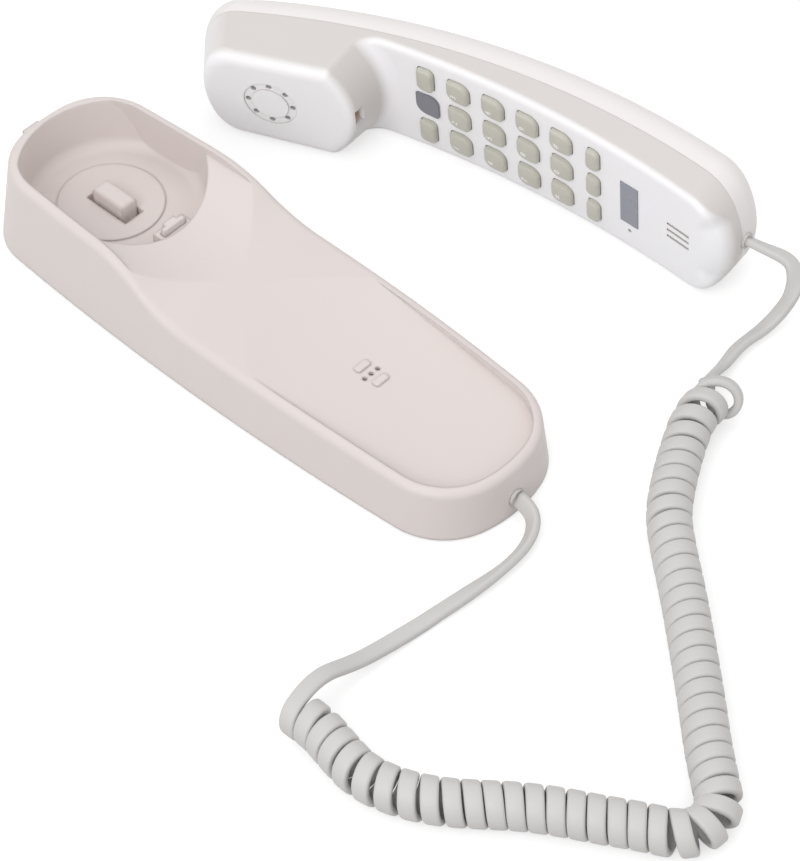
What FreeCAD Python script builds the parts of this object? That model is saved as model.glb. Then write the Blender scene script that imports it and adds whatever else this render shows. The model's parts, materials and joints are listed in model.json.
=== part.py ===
import FreeCAD, Part
import math
import os
import Sketcher

# Corded telephone: a low cradle with an ear cup and a keypad handset that lies beside it
# on its long side, joined by a curly cord. Millimetres, +Z up, the floor at z = 0.
# The cradle's long axis is Y, with the ear cup at +Y and the cord at -Y.

V = FreeCAD.Vector
doc = FreeCAD.newDocument("corded_phone")

SIZES = {
    # cradle housing
    "base_length": 195.0,
    "base_width": 61.6,
    "side_radius": 1000.0,
    "ear_end_radius": 60.0,
    "ear_corner": 20.0,
    "front_end_radius": 45.0,
    "front_corner": 22.0,
    "draft_angle": 6.0,
    "foot_height": 0.8,
    "low_rim": 19.3,
    "ear_rim": 29.8,
    "front_fall_radius": 1600.0,
    "front_fall_start": -20.0,
    "ramp_foot": 6.0,
    "ramp_top": 46.0,
    "base_wall": 2.2,
    "rim_round": 2.4,
    # tray and ear cup
    "tray_rim": 2.8,
    "deck_front_z": 12.6,
    "deck_slope": 3.75,
    "deck_half": 26.0,
    "dish_start": -12.0,
    "deck_dish_front": 1.0,
    "deck_dish_middle": 1.6,
    "deck_dish_cup": 6.5,
    "cup_y": 63.4,
    "cup_radius": 28.2,
    "cup_rim": 2.8,
    "cup_floor": 13.0,
    "cup_root": 4.0,
    "disc_y": 65.6,
    "disc_radius": 16.3,
    "disc_rise": 0.5,
    # hook switch
    "hook_y": 63.9,
    "slot_length": 16.6,
    "slot_width": 7.5,
    "plunger_length": 12.5,
    "plunger_width": 6.0,
    "plunger_rise": 4.6,
    "plunger_round": 1.2,
    "flange_side": 2.4,
    "flange_thick": 1.4,
    "seat_gap": 0.1,
    "spring_radius": 2.6,
    "spring_wire": 0.7,
    "spring_turns": 3,
    "switch_length": 9.0,
    "switch_width": 4.2,
    "switch_height": 2.4,
    "switch_offset": 6.2,
    # bottom plate, feet and screws
    "plate_thick": 2.0,
    "plate_gap": 0.3,
    "foot_radius": 5.0,
    "foot_sink": 0.8,
    "foot_x": 18.0,
    "foot_front_y": -74.0,
    "foot_ear_y": 76.0,
    "boss_radius": 3.4,
    "boss_x": 19.0,
    "boss_front_y": -58.0,
    "boss_ear_y": 24.0,
    "screw_radius": 1.4,
    "screw_gap": 0.2,
    "screw_head_radius": 2.7,
    "screw_head_depth": 1.3,
    "screw_bite": 7.0,
    "keyhole_pitch": 83.0,
    "keyhole_head": 4.4,
    "keyhole_neck": 2.3,
    "keyhole_run": 7.0,
    # cradle inner parts
    "ballast_length": 22.0,
    "ballast_width": 28.0,
    "ballast_thick": 5.0,
    "ballast_y": -62.0,
    "board_length": 34.0,
    "board_width": 44.0,
    "board_thick": 1.6,
    "board_post": 2.8,
    "board_post_radius": 2.2,
    "board_post_inset": 4.5,
    "buzzer_radius": 8.0,
    "buzzer_height": 4.0,
    "buzzer_seat": 1.6,
    # line jack and lug in the ear end
    "jack_width": 12.6,
    "jack_height": 7.8,
    "jack_depth": 13.0,
    "jack_gap": 0.7,
    "jack_mouth_width": 9.8,
    "jack_mouth_height": 6.6,
    "jack_mouth_depth": 10.0,
    "lug_width": 6.2,
    "lug_thick": 2.6,
    "lug_reach": 4.6,
    "lug_z": 19.8,
    # retention hook on the front wall of the cup
    "hook_width": 8.6,
    "hook_thick": 1.8,
    "hook_height": 9.0,
    "hook_rise": 1.2,
    "hook_lip": 1.4,
    "hook_lip_width": 4.6,
    "hook_lip_height": 1.8,
    "hook_gap": 0.15,
    "hook_wall": 1.6,
    "hook_stand": 1.7,
    # sound holes in the tray
    "sound_y": -41.2,
    "sound_pitch": 2.7,
    "sound_radius": 0.75,
    "pad_offset": 3.6,
    "pad_length": 5.4,
    "pad_width": 2.6,
    "pad_rise": 0.5,
    "pad_corner": 0.8,
    # cord and its bushes
    "cord_wire": 3.8,
    "coil_outer": 13.0,
    "coil_pitch": 5.4,
    "coil_gap": 0.6,
    "bush_radius": 2.6,
    "bush_flange": 3.3,
    "bush_flange_thick": 1.2,
    "bush_proud": 0.6,
    "bush_gap": 0.45,
    "exit_z": 6.2,
    "handset_exit_z": -3.4,
    # handset, in its own frame: X across, Y towards the ear, Z out of the keypad face
    "handset_half_width": 23.4,
    "handset_mouth_y": -87.2,
    "ear_y": 66.0,
    "ear_end_y": 124.0,
    "ear_radius": 31.6,
    "mouth_radius": 31.6,
    "ear_slant": 34.0,
    "mouth_slant": 3.0,
    "handset_ear_corner": 17.6,
    "handset_mouth_corner": 15.0,
    "widest_z": -24.0,
    "back_radius": 280.0,
    "back_low_y": -26.7,
    "back_low_z": -19.8,
    "seam_radius": 277.0,
    "seam_low_y": -24.4,
    "seam_low_z": -8.6,
    "face_radius": 364.0,
    "face_low_y": -3.0,
    "bump_radius": 29.0,
    "bump_draft": 7.0,
    "ear_face_y": 65.2,
    "ear_face_z": 26.1,
    "ear_face_tilt": 15.0,
    "ear_round": 4.4,
    "bump_root": 6.0,
    "face_round": 2.6,
    "face_mouth_round": 8.5,
    "back_round": 8.0,
    "handset_wall": 2.0,
    "handset_x": 94.6,
    "handset_y": -3.9,
    "handset_yaw": 8.4,
    # keypad
    "key_row_pitch": 12.36,
    "key_column_pitch": 11.56,
    "key_length": 7.4,
    "key_width": 7.7,
    "key_leaf": 3.4,
    "small_key_leaf": 2.0,
    "key_corner": 1.0,
    "key_rise": 2.2,
    "key_round": 0.8,
    "key_gap": 0.25,
    "key_flange": 0.5,
    "key_flange_thick": 0.8,
    "key_seat": 0.45,
    "key_travel": 1.2,
    "key_stem": 2.0,
    "memory_y": 23.8,
    "memory_length": 5.4,
    "memory_width": 8.6,
    "function_y": -36.5,
    "function_length": 4.3,
    "function_width": 7.8,
    "lens_length": 8.2,
    "lens_width": 8.7,
    "lens_rise": 0.5,
    "mat_z": -4.8,
    "mat_thick": 1.0,
    "mat_side": 1.0,
    "handset_board_thick": 1.6,
    "handset_board_side": 4.6,
    "handset_post_radius": 2.0,
    "handset_post_x": 14.0,
    "badge_length": 6.6,
    "badge_width": 17.4,
    "badge_y": -49.7,
    "badge_sink": 0.6,
    "badge_rise": 0.3,
    "led_radius": 2.0,
    "led_height": 2.4,
    # earpiece and microphone
    "ring_radius": 7.3,
    "ring_groove": 0.5,
    "ring_groove_half": 1.3,
    "ear_holes": 8,
    "ear_hole_radius": 0.9,
    "gasket_radius": 14.5,
    "gasket_bore": 11.0,
    "gasket_thick": 1.2,
    "speaker_radius": 14.0,
    "speaker_height": 6.0,
    "mic_y": -68.3,
    "mic_radius": 4.8,
    "mic_height": 4.0,
    "mic_slot_length": 8.4,
    "mic_slot_width": 1.0,
    "mic_slot_pitch": 2.7,
    "pinhole_x": -12.0,
    "pinhole_radius": 0.6,
    "catch_width": 5.6,
    "catch_height": 6.4,
    "catch_depth": 6.0,
    "catch_z": 14.0,
    # handset screws
    "handset_screw_x": 13.0,
    "handset_screw_ear_y": 42.0,
    "handset_screw_mouth_y": -58.0,
    "handset_boss_radius": 3.0,
    "handset_screw_sink": 5.0,
    "handset_screw_bite": 6.0,
}

sheet = doc.addObject("Spreadsheet::Sheet", "Sizes")
for row, (alias, number) in enumerate(SIZES.items(), start=1):
    sheet.set("A%d" % row, str(number))
    sheet.setAlias("A%d" % row, alias)
doc.recompute()


class Size:
    """A length that knows its number and the sheet expression it comes from."""

    def __init__(self, value, text):
        self.value = value
        self.text = text

    def combine(self, other, sign, result):
        other = as_size(other)
        return Size(result(self.value, other.value), "(%s %s %s)" % (self.text, sign, other.text))

    def __add__(self, other):
        return self.combine(other, "+", lambda a, b: a + b)

    def __sub__(self, other):
        return self.combine(other, "-", lambda a, b: a - b)

    def __mul__(self, other):
        return self.combine(other, "*", lambda a, b: a * b)

    def __truediv__(self, other):
        return self.combine(other, "/", lambda a, b: a / b)

    def __neg__(self):
        return Size(-self.value, "(0 - %s)" % self.text)


def as_size(value):
    if isinstance(value, Size):
        return value
    return Size(float(value), "(%.6f)" % value)


def root(size):
    return Size(math.sqrt(size.value), "sqrt(%s)" % size.text)


def sine(angle):
    return Size(math.sin(math.radians(angle.value)), "sin(%s)" % angle.text)


def cosine(angle):
    return Size(math.cos(math.radians(angle.value)), "cos(%s)" % angle.text)


def tangent(angle):
    return Size(math.tan(math.radians(angle.value)), "tan(%s)" % angle.text)


class Sheet:
    """The driving sizes by name."""


s = Sheet()
for alias in SIZES:
    setattr(s, alias, Size(float(sheet.get(alias)), "Sizes.%s" % alias))
ZERO = as_size(0)


# Helpers that make one bound object each


def bind(obj, prop, value):
    obj.setExpression(prop, as_size(value).text)


def place(obj, x, y, z):
    bind(obj, "Placement.Base.x", x)
    bind(obj, "Placement.Base.y", y)
    bind(obj, "Placement.Base.z", z)
    return obj


def box(name, dx, dy, dz, x, y, z):
    """A box centred on x and y, standing on z."""
    obj = doc.addObject("Part::Box", name)
    bind(obj, "Length", dx)
    bind(obj, "Width", dy)
    bind(obj, "Height", dz)
    return place(obj, as_size(x) - as_size(dx) / 2, as_size(y) - as_size(dy) / 2, z)


def cylinder(name, radius, height, x, y, z, axis=V(0, 0, 1)):
    obj = doc.addObject("Part::Cylinder", name)
    bind(obj, "Radius", radius)
    bind(obj, "Height", height)
    obj.Placement = FreeCAD.Placement(V(), FreeCAD.Rotation(V(0, 0, 1), axis))
    return place(obj, x, y, z)


def cone(name, low_radius, high_radius, height, x, y, z):
    obj = doc.addObject("Part::Cone", name)
    bind(obj, "Radius1", low_radius)
    bind(obj, "Radius2", high_radius)
    bind(obj, "Height", height)
    return place(obj, x, y, z)


def fuse(name, *pieces):
    obj = doc.addObject("Part::MultiFuse", name)
    obj.Shapes = list(pieces)
    return obj


def common(name, *pieces):
    obj = doc.addObject("Part::MultiCommon", name)
    obj.Shapes = list(pieces)
    return obj


def cut(name, base, *tools):
    obj = doc.addObject("Part::Cut", name)
    obj.Base = base
    obj.Tool = tools[0] if len(tools) == 1 else fuse(name + "_tools", *tools)
    return obj


def fillet(name, base, radius, chosen):
    """Round the edges of base that the function chosen picks."""
    doc.recompute()
    obj = doc.addObject("Part::Fillet", name)
    obj.Base = base
    size = radius.value
    obj.Edges = [(i, size, size) for i, e in enumerate(base.Shape.Edges, start=1) if chosen(e)]
    return obj


def prism(name, sketch, direction, length, symmetric=False):
    obj = doc.addObject("Part::Extrusion", name)
    obj.Base = sketch
    obj.DirMode = "Custom"
    obj.Dir = direction
    obj.Solid = True
    obj.Symmetric = symmetric
    bind(obj, "LengthFwd", length)
    return obj


SIDE_VIEW = FreeCAD.Rotation(V(1, 1, 1), 120)
FRONT_VIEW = FreeCAD.Rotation(V(1, 0, 0), 90)


def fix_point(sketch, index, position, x, y):
    for kind, size in (("DistanceX", x), ("DistanceY", y)):
        mark = sketch.addConstraint(Sketcher.Constraint(kind, -1, 1, index, position, size.value))
        sketch.setExpression("Constraints[%d]" % mark, size.text)


def fix_radius(sketch, index, radius):
    mark = sketch.addConstraint(Sketcher.Constraint("Radius", index, radius.value))
    sketch.setExpression("Constraints[%d]" % mark, radius.text)


def bowed(start, end, radius):
    """An arc from start to end; a positive radius bows it to the right of the way it goes."""
    chord = end - start
    half = chord.Length / 2
    side = V(chord.y, -chord.x, 0).normalize()
    reach = abs(radius)
    sagitta = reach - math.sqrt(reach * reach - half * half)
    middle = (start + end) / 2 + side * math.copysign(sagitta, radius)
    # drawn anticlockwise either way, as sketches keep their arcs
    return Part.Arc(start, middle, end) if radius > 0 else Part.Arc(end, middle, start)


def outline(sketch, points, radii):
    """A closed loop through bound points; radii maps an edge to a signed arc radius."""
    points = [(as_size(x), as_size(y)) for x, y in points]
    corners = [V(x.value, y.value, 0) for x, y in points]
    count = len(points)
    for i in range(count):
        start, end = corners[i], corners[(i + 1) % count]
        if i in radii:
            sketch.addGeometry(bowed(start, end, radii[i].value), False)
        else:
            sketch.addGeometry(Part.LineSegment(start, end), False)
    heads = []
    for i in range(count):
        curve = sketch.Geometry[i]
        first = curve.StartPoint.distanceToPoint(corners[i]) < 1e-6
        heads.append((1, 2) if first else (2, 1))
    for i in range(count):
        after = (i + 1) % count
        sketch.addConstraint(Sketcher.Constraint("Coincident", i, heads[i][1], after, heads[after][0]))
        fix_point(sketch, i, heads[i][0], *points[i])
        if i in radii:
            bound = radii[i] if radii[i].value > 0 else -radii[i]
            fix_radius(sketch, i, bound)
    return sketch


def flat_sketch(name, z):
    sketch = doc.addObject("Sketcher::SketchObject", name)
    bind(sketch, "Placement.Base.z", z)
    return sketch


def side_prism(name, points, radii, width):
    """A profile in the YZ plane, swept across X."""
    sketch = doc.addObject("Sketcher::SketchObject", name + "_profile")
    sketch.Placement = FreeCAD.Placement(V(), SIDE_VIEW)
    outline(sketch, points, radii)
    return prism(name, sketch, V(1, 0, 0), width, symmetric=True)


def loft(name, *sections):
    obj = doc.addObject("Part::Loft", name)
    obj.Sections = list(sections)
    obj.Solid = True
    obj.Ruled = True
    return obj


def is_upright(edge):
    first, last = edge.Vertexes[0].Point, edge.Vertexes[-1].Point
    return abs(first.z - last.z) > 0.5 * edge.Length


def crossing(one, two, near):
    """The point where two circles (x, y, radius) meet, nearest to a hint."""
    dx, dy = two[0] - one[0], two[1] - one[1]
    apart = math.hypot(dx, dy)
    along = (one[2] ** 2 - two[2] ** 2 + apart ** 2) / (2 * apart)
    off = math.sqrt(one[2] ** 2 - along ** 2)
    foot = V(one[0] + along * dx / apart, one[1] + along * dy / apart, 0)
    step = V(dy, -dx, 0) * (off / apart)
    return min((foot + step, foot - step), key=lambda p: p.distanceToPoint(near))


# Cradle


def cradle_plan(name, z, inset):
    """The cradle's outline at height z, drawn in by inset: four arcs that meet at corners."""
    half_width = s.base_width / 2 - inset
    half_length = s.base_length / 2 - inset
    side = s.side_radius - inset
    ear = s.ear_end_radius - inset
    front = s.front_end_radius - inset
    arcs = [
        (half_width - side, ZERO, side),
        (ZERO, half_length - ear, ear),
        (side - half_width, ZERO, side),
        (ZERO, front - half_length, front),
    ]
    wide, long = half_width.value, half_length.value
    hints = [V(wide, long, 0), V(-wide, long, 0), V(-wide, -long, 0), V(wide, -long, 0)]
    numbers = [tuple(size.value for size in arc) for arc in arcs]
    corners = [crossing(numbers[i], numbers[(i + 1) % 4], hints[i]) for i in range(4)]
    sketch = flat_sketch(name, z)
    for i, (x, y, radius) in enumerate(numbers):
        start, end = corners[i - 1], corners[i]
        from_angle = math.atan2(start.y - y, start.x - x)
        to_angle = math.atan2(end.y - y, end.x - x)
        if to_angle < from_angle:
            to_angle += 2 * math.pi
        circle = Part.Circle(V(x, y, 0), V(0, 0, 1), radius)
        sketch.addGeometry(Part.ArcOfCircle(circle, from_angle, to_angle), False)
    for i, (x, y, radius) in enumerate(arcs):
        sketch.addConstraint(Sketcher.Constraint("Coincident", i, 2, (i + 1) % 4, 1))
        fix_point(sketch, i, 3, x, y)
        fix_radius(sketch, i, radius)
    return sketch


def cradle_block(name, inset, low, high):
    """The cradle's drafted block between two heights, drawn in by inset all round."""
    lean = tangent(s.draft_angle)
    floor = cradle_plan(name + "_low", low, as_size(inset) + (as_size(low) - s.foot_height) * lean)
    roof = cradle_plan(name + "_high", high, as_size(inset) + (as_size(high) - s.foot_height) * lean)
    body = loft(name + "_loft", floor, roof)
    ear_corner = s.ear_corner.value - as_size(inset).value
    front_corner = s.front_corner.value - as_size(inset).value
    doc.recompute()
    obj = doc.addObject("Part::Fillet", name)
    obj.Base = body
    rounds = []
    for i, edge in enumerate(body.Shape.Edges, start=1):
        if is_upright(edge):
            corner = ear_corner if edge.CenterOfMass.y > 0 else front_corner
            rounds.append((i, corner, corner))
    obj.Edges = rounds
    return obj


BEYOND = as_size(150)
CROSS = as_size(120)
SKY = as_size(60)
UNDER = as_size(5)


def rim_points(drop):
    """The cradle's side outline, lowered by drop, as a closed profile with its arcs."""
    low = s.low_rim - drop
    high = s.ear_rim - drop
    run = s.ramp_top - s.ramp_foot
    rise = s.ear_rim - s.low_rim
    bend = (run * run + rise * rise) / (rise * 4)
    reach = s.front_fall_start + BEYOND
    fall = s.front_fall_radius - root(s.front_fall_radius * s.front_fall_radius - reach * reach)
    points = [
        (-BEYOND, -UNDER),
        (BEYOND, -UNDER),
        (BEYOND, high),
        (s.ramp_top, high),
        ((s.ramp_top + s.ramp_foot) / 2, (low + high) / 2),
        (s.ramp_foot, low),
        (s.front_fall_start, low),
        (-BEYOND, low - fall),
    ]
    return points, {3: bend, 4: -bend, 6: s.front_fall_radius}


def deck_room(name, drop):
    """The room above the dished deck, which climbs from the front to the cup, lowered by drop."""
    front = -(s.base_length / 2)
    stations = [(front - s.base_wall * 2, s.deck_dish_front)]
    ramp = s.cup_y - s.cup_radius - s.dish_start
    deepen = s.deck_dish_cup - s.deck_dish_middle
    for part in (0.0, 0.2, 0.4, 0.6, 0.8, 1.0):
        eased = part * part * (3 - 2 * part)
        stations.append((s.dish_start + ramp * part, s.deck_dish_middle + deepen * eased))
    stations.append((s.cup_y, s.deck_dish_cup))
    sections = []
    for i, (y, dish) in enumerate(stations):
        middle = s.deck_front_z - drop + (y - front) * tangent(s.deck_slope)
        half = s.deck_half
        radius = (half * half + dish * dish) / (dish * 2)
        sketch = doc.addObject("Sketcher::SketchObject", "%s_section_%d" % (name, i))
        sketch.Placement = FreeCAD.Placement(V(), FRONT_VIEW)
        bind(sketch, "Placement.Base.y", y)
        points = [(-half, middle + dish), (half, middle + dish), (half, SKY), (-half, SKY)]
        sections.append(outline(sketch, points, {0: radius}))
    return loft(name, *sections)


def build_housing():
    block = cradle_block("housing_block", ZERO, s.foot_height, s.ear_rim + s.base_wall * 2)
    below_rim = side_prism("housing_rim", *rim_points(ZERO), CROSS)
    body = common("housing_body", block, below_rim)

    def spans_top(edge):
        first, last = edge.Vertexes[0].Point, edge.Vertexes[-1].Point
        return edge.Curve.TypeId == "Part::GeomLine" and abs(first.y - last.y) < 1e-3

    def on_rim(edge):
        lifted = edge.CenterOfMass.z > s.low_rim.value / 2
        return lifted and not is_upright(edge) and not spans_top(edge)

    rounded = fillet("housing_rounded", body, s.rim_round, on_rim)
    lean = tangent(s.draft_angle)
    tray = common("tray", cradle_block("tray_plan", s.tray_rim, s.foot_height, SKY),
                  deck_room("tray_room", ZERO))
    bowl = cone("cup_cone", s.cup_radius - (s.ear_rim - s.cup_floor) * lean,
                s.cup_radius + (SKY - s.ear_rim) * lean, SKY - s.cup_floor, 0, s.cup_y, s.cup_floor)

    def on_cup_floor(edge):
        return edge.BoundBox.ZMax < s.cup_floor.value + 1e-3

    cup = common("cup", cradle_block("cup_plan", s.cup_rim, s.foot_height, SKY),
                 fillet("cup_bowl", bowl, s.cup_root, on_cup_floor))
    shaped = cut("housing_shaped", rounded, tray, cup)
    disc = cylinder("cup_disc", s.disc_radius, s.disc_rise + s.base_wall / 2, 0, s.disc_y,
                    s.cup_floor - s.base_wall / 2)
    solid = fuse("housing_solid", shaped, disc)
    return cut("housing_shell", solid, cradle_cavity("housing_cavity", s.base_wall)), solid


def cradle_cavity(name, wall):
    """The room inside the cradle's walls."""
    lean = tangent(s.draft_angle)
    room = common(
        name + "_room",
        cradle_block(name + "_plan", wall, s.foot_height - s.base_wall, s.ear_rim),
        side_prism(name + "_rim", *rim_points(wall), CROSS),
    )
    cup = cone(name + "_cup", s.cup_radius + wall - (s.ear_rim - s.cup_floor + wall) * lean,
               s.cup_radius + wall + (SKY - s.ear_rim) * lean, SKY - s.cup_floor + wall,
               0, s.cup_y, s.cup_floor - wall)
    return cut(name, room, deck_room(name + "_deck", wall), cup)


nodes = {}


def node(name, obj):
    """Register a finished sub-part under its name."""
    obj.Label = name
    nodes[name] = obj
    return obj


def compound(name, pieces):
    obj = doc.addObject("Part::Compound", name)
    obj.Links = pieces
    return obj


PLATE_TOP = s.foot_height + s.plate_thick
LEAN = tangent(s.draft_angle)
BOSS_SPOTS = [(x, y) for x in (-s.boss_x, s.boss_x) for y in (s.boss_front_y, s.boss_ear_y)]
FOOT_SPOTS = [(x, y) for x in (-s.foot_x, s.foot_x) for y in (s.foot_front_y, s.foot_ear_y)]
HOOK_FACE = s.cup_y - s.cup_radius + s.hook_stand + s.hook_wall / 2
FRONT_WALL = (s.exit_z - s.foot_height) * LEAN - s.base_length / 2


def deck_z(y):
    return s.deck_front_z + (y + s.base_length / 2) * tangent(s.deck_slope)


HOOK_BOTTOM = deck_z(HOOK_FACE) + s.hook_rise - s.hook_height
HOLDER_TOP = HOOK_BOTTOM + s.hook_height - s.hook_lip_height - s.hook_gap
HOLDER_THICK = s.hook_thick + (s.hook_gap + s.hook_wall) * 2
BUZZER_TOP = deck_z(s.sound_y) - s.base_wall - s.buzzer_seat
JACK_FRONT = s.base_length / 2 - s.base_wall - s.jack_height * LEAN - s.jack_gap


def finish_housing(shell, solid):
    """Bosses, seats and lug added to the shell, then its openings cut."""
    added = []
    holes = []
    for i, (x, y) in enumerate(BOSS_SPOTS):
        post = cylinder("boss_post_%d" % i, s.boss_radius, SKY - PLATE_TOP, x, y, PLATE_TOP)
        added.append(common("boss_%d" % i, post, solid))
        holes.append(cylinder("boss_hole_%d" % i, s.screw_radius, s.screw_bite + s.screw_gap,
                              x, y, PLATE_TOP))
    seat = cylinder("buzzer_post", s.buzzer_radius + s.base_wall / 2, SKY - BUZZER_TOP,
                    0, s.sound_y, BUZZER_TOP)
    added.append(common("buzzer_seat", seat, solid))
    added.append(box("hook_holder", s.hook_width + s.hook_wall * 2, HOLDER_THICK,
                     HOLDER_TOP - s.cup_floor + s.base_wall / 2, 0, HOOK_FACE + s.hook_thick / 2,
                     s.cup_floor - s.base_wall / 2))
    for i, side in enumerate((-1, 1)):
        y = s.sound_y + s.pad_offset * side
        block = box("sound_pad_%d" % i, s.pad_length, s.pad_width, s.pad_rise + s.base_wall / 2,
                    0, y, deck_z(y) - s.base_wall / 2)
        added.append(fillet("sound_pad_round_%d" % i, block, s.pad_corner, is_upright))
    wall = s.base_length / 2 - (s.lug_z - s.foot_height) * LEAN
    reach = s.lug_reach + s.cup_rim / 2
    added.append(box("ear_lug", s.lug_width, reach, s.lug_thick, 0, wall + s.lug_reach - reach / 2,
                     s.lug_z))
    for i in range(3):
        holes.append(cylinder("sound_hole_%d" % i, s.sound_radius, SKY - s.cup_floor / 2,
                              s.sound_pitch * (i - 1), s.sound_y, s.cup_floor / 2))
    holes.append(box("plunger_slot", s.slot_width, s.slot_length, s.disc_rise + s.base_wall * 3,
                     0, s.hook_y, s.cup_floor - s.base_wall * 2))
    holes.append(box("jack_hole", s.jack_mouth_width, s.base_wall * 4, s.jack_mouth_height,
                     0, JACK_FRONT + s.base_wall * 2, jack_mouth_z()))
    holes.append(box("hook_groove", s.hook_width + s.hook_gap * 2, s.hook_thick + s.hook_gap * 2,
                     SKY - HOOK_BOTTOM, 0, HOOK_FACE + s.hook_thick / 2, HOOK_BOTTOM))
    holes.append(cylinder("bush_hole", s.bush_radius, s.base_wall * 4, 0,
                          FRONT_WALL - s.base_wall, s.exit_z, V(0, 1, 0)))
    return cut("housing", fuse("housing_with_seats", shell, *added), *holes)


def jack_mouth_z():
    return PLATE_TOP + (s.jack_height - s.jack_mouth_height) / 2


def build_plate():
    """Bottom plate with foot recesses, countersunk screw holes, wall keyholes and board posts."""
    block = cradle_block("plate_block", s.base_wall + s.plate_gap, s.foot_height, PLATE_TOP)
    posts = []
    for i, (x, y) in enumerate(board_corners()):
        posts.append(cylinder("board_post_%d" % i, s.board_post_radius,
                              s.board_post + s.plate_thick / 2, x, y, PLATE_TOP - s.plate_thick / 2))
    holes = []
    for i, (x, y) in enumerate(FOOT_SPOTS):
        holes.append(cylinder("foot_recess_%d" % i, s.foot_radius, s.foot_sink * 2, x, y,
                              s.foot_height - s.foot_sink))
    for i, (x, y) in enumerate(BOSS_SPOTS):
        holes.append(cylinder("screw_pass_%d" % i, s.screw_radius + s.screw_gap, s.plate_thick * 2,
                              x, y, s.foot_height))
        holes.append(cylinder("screw_seat_%d" % i, s.screw_head_radius + s.screw_gap,
                              s.screw_head_depth * 2, x, y, s.foot_height - s.screw_head_depth))
    for i, side in enumerate((-1, 1)):
        y = s.keyhole_pitch / 2 * side
        tall = s.plate_thick * 3
        low = s.foot_height - s.plate_thick
        holes.append(cylinder("keyhole_head_%d" % i, s.keyhole_head, tall, 0, y, low))
        holes.append(box("keyhole_neck_%d" % i, s.keyhole_neck * 2, s.keyhole_run, tall, 0,
                         y + s.keyhole_run / 2, low))
        holes.append(cylinder("keyhole_end_%d" % i, s.keyhole_neck, tall, 0, y + s.keyhole_run, low))
    return cut("plate", fuse("plate_with_posts", block, *posts), *holes)


def board_corners():
    x = s.board_width / 2 - s.board_post_inset
    y = s.board_length / 2 - s.board_post_inset
    return [(-x, -y), (x, -y), (x, y), (-x, y)]


def screw(name, x, y, z, bite):
    """A pan-head screw that points up, its head's flat at z."""
    head = cylinder(name + "_head", s.screw_head_radius, s.screw_head_depth, x, y,
                    z - s.screw_head_depth)
    shank = cylinder(name + "_shank", s.screw_radius, bite, x, y, z)
    return fuse(name, head, shank)


def build_plunger():
    """Hook switch button: a rounded stem through the slot, held by a flange under the cup floor."""
    top = s.cup_floor + s.disc_rise + s.plunger_rise
    flange_top = s.cup_floor - s.base_wall - s.seat_gap
    low = flange_top - s.flange_thick
    stem = box("plunger_stem", s.plunger_width, s.plunger_length, top - low, 0, s.hook_y, low)

    def on_top(edge):
        return edge.CenterOfMass.z > top.value - s.plunger_round.value

    rounded = fillet("plunger_rounded", stem, s.plunger_round, on_top)
    flange = box("plunger_flange", s.plunger_width + s.flange_side * 2,
                 s.plunger_length + s.flange_side * 2, s.flange_thick, 0, s.hook_y, low)
    return fuse("plunger", rounded, flange), low


def biarc(start, leave, end, arrive):
    """Two arcs from start to end that keep both given directions."""
    across = end - start
    blend = across.dot(leave + arrive)
    spread = 2 * (1 - leave.dot(arrive))
    reach = (math.sqrt(blend * blend + spread * across.dot(across)) - blend) / spread
    first, second = start + leave * reach, end - arrive * reach
    middle = (first + second) / 2
    return [tangent_arc(start, first, middle), tangent_arc(middle, second, end)]


def tangent_arc(start, corner, end):
    """The arc from start to end whose tangents there meet at corner."""
    chord = (start + end) / 2
    turn = math.pi - (start - corner).getAngle(end - corner)
    sagitta = start.distanceToPoint(end) / 2 * math.tan(turn / 4)
    return Part.Arc(start, chord + (corner - chord).normalize() * sagitta, end)


def turned_wire(spot, steps, per_turn):
    """Arcs, a biarc each half turn, along a helix given as a function of the step."""
    half = per_turn // 2
    marks = range(0, steps + 1, half)

    def heading(step):
        return (spot(step + 0.5) - spot(step - 0.5)).normalize()

    curves = []
    for low, high in zip(marks, marks[1:]):
        curves += biarc(spot(low), heading(low), spot(high), heading(high))
    return curves, heading(0), heading(marks[-1])


def swept(name, curves, radius):
    """A round tube along tangent curves."""
    path = Part.Wire([curve.toShape() for curve in curves])
    start = path.Edges[0]
    first = start.valueAt(start.FirstParameter)
    along = start.tangentAt(start.FirstParameter)
    ring = Part.Wire([Part.Circle(first, along, radius).toShape()])
    obj = doc.addObject("Part::Feature", name)
    obj.Shape = path.makePipeShell([ring], True, False)
    expected = math.pi * radius * radius * path.Length
    print("%s: length %.1f, volume ratio %.4f" % (name, path.Length, obj.Shape.Volume / expected))
    return obj


def build_spring(top):
    """Compression spring between the plate and the button's flange."""
    radius = s.spring_radius.value
    wire = s.spring_wire.value / 2
    low = PLATE_TOP.value + wire
    climb = top.value - wire - low
    per_turn = 24
    steps = int(s.spring_turns.value) * per_turn

    def spot(step):
        angle = 2 * math.pi * step / per_turn
        return V(radius * math.cos(angle), s.hook_y.value + radius * math.sin(angle),
                 low + climb * step / steps)

    curves, _, _ = turned_wire(spot, steps, per_turn)
    return swept("spring", curves, wire)


def build_jack():
    body = box("jack_body", s.jack_width, s.jack_depth, s.jack_height, 0,
               JACK_FRONT - s.jack_depth / 2, PLATE_TOP)
    mouth = box("jack_mouth", s.jack_mouth_width, s.jack_mouth_depth * 2, s.jack_mouth_height, 0,
                JACK_FRONT, jack_mouth_z())
    return cut("jack", body, mouth)


def build_hook():
    """Reversible tab in the cup's front wall, with the lip that holds a hung handset."""
    plate = box("hook_plate", s.hook_width, s.hook_thick, s.hook_height, 0,
                HOOK_FACE + s.hook_thick / 2, HOOK_BOTTOM)
    lip = box("hook_lip_block", s.hook_lip_width, s.hook_lip * 2, s.hook_lip_height, 0,
              HOOK_FACE + s.hook_thick, HOOK_BOTTOM + s.hook_height - s.hook_lip_height)
    return fuse("hook", plate, lip)


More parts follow.
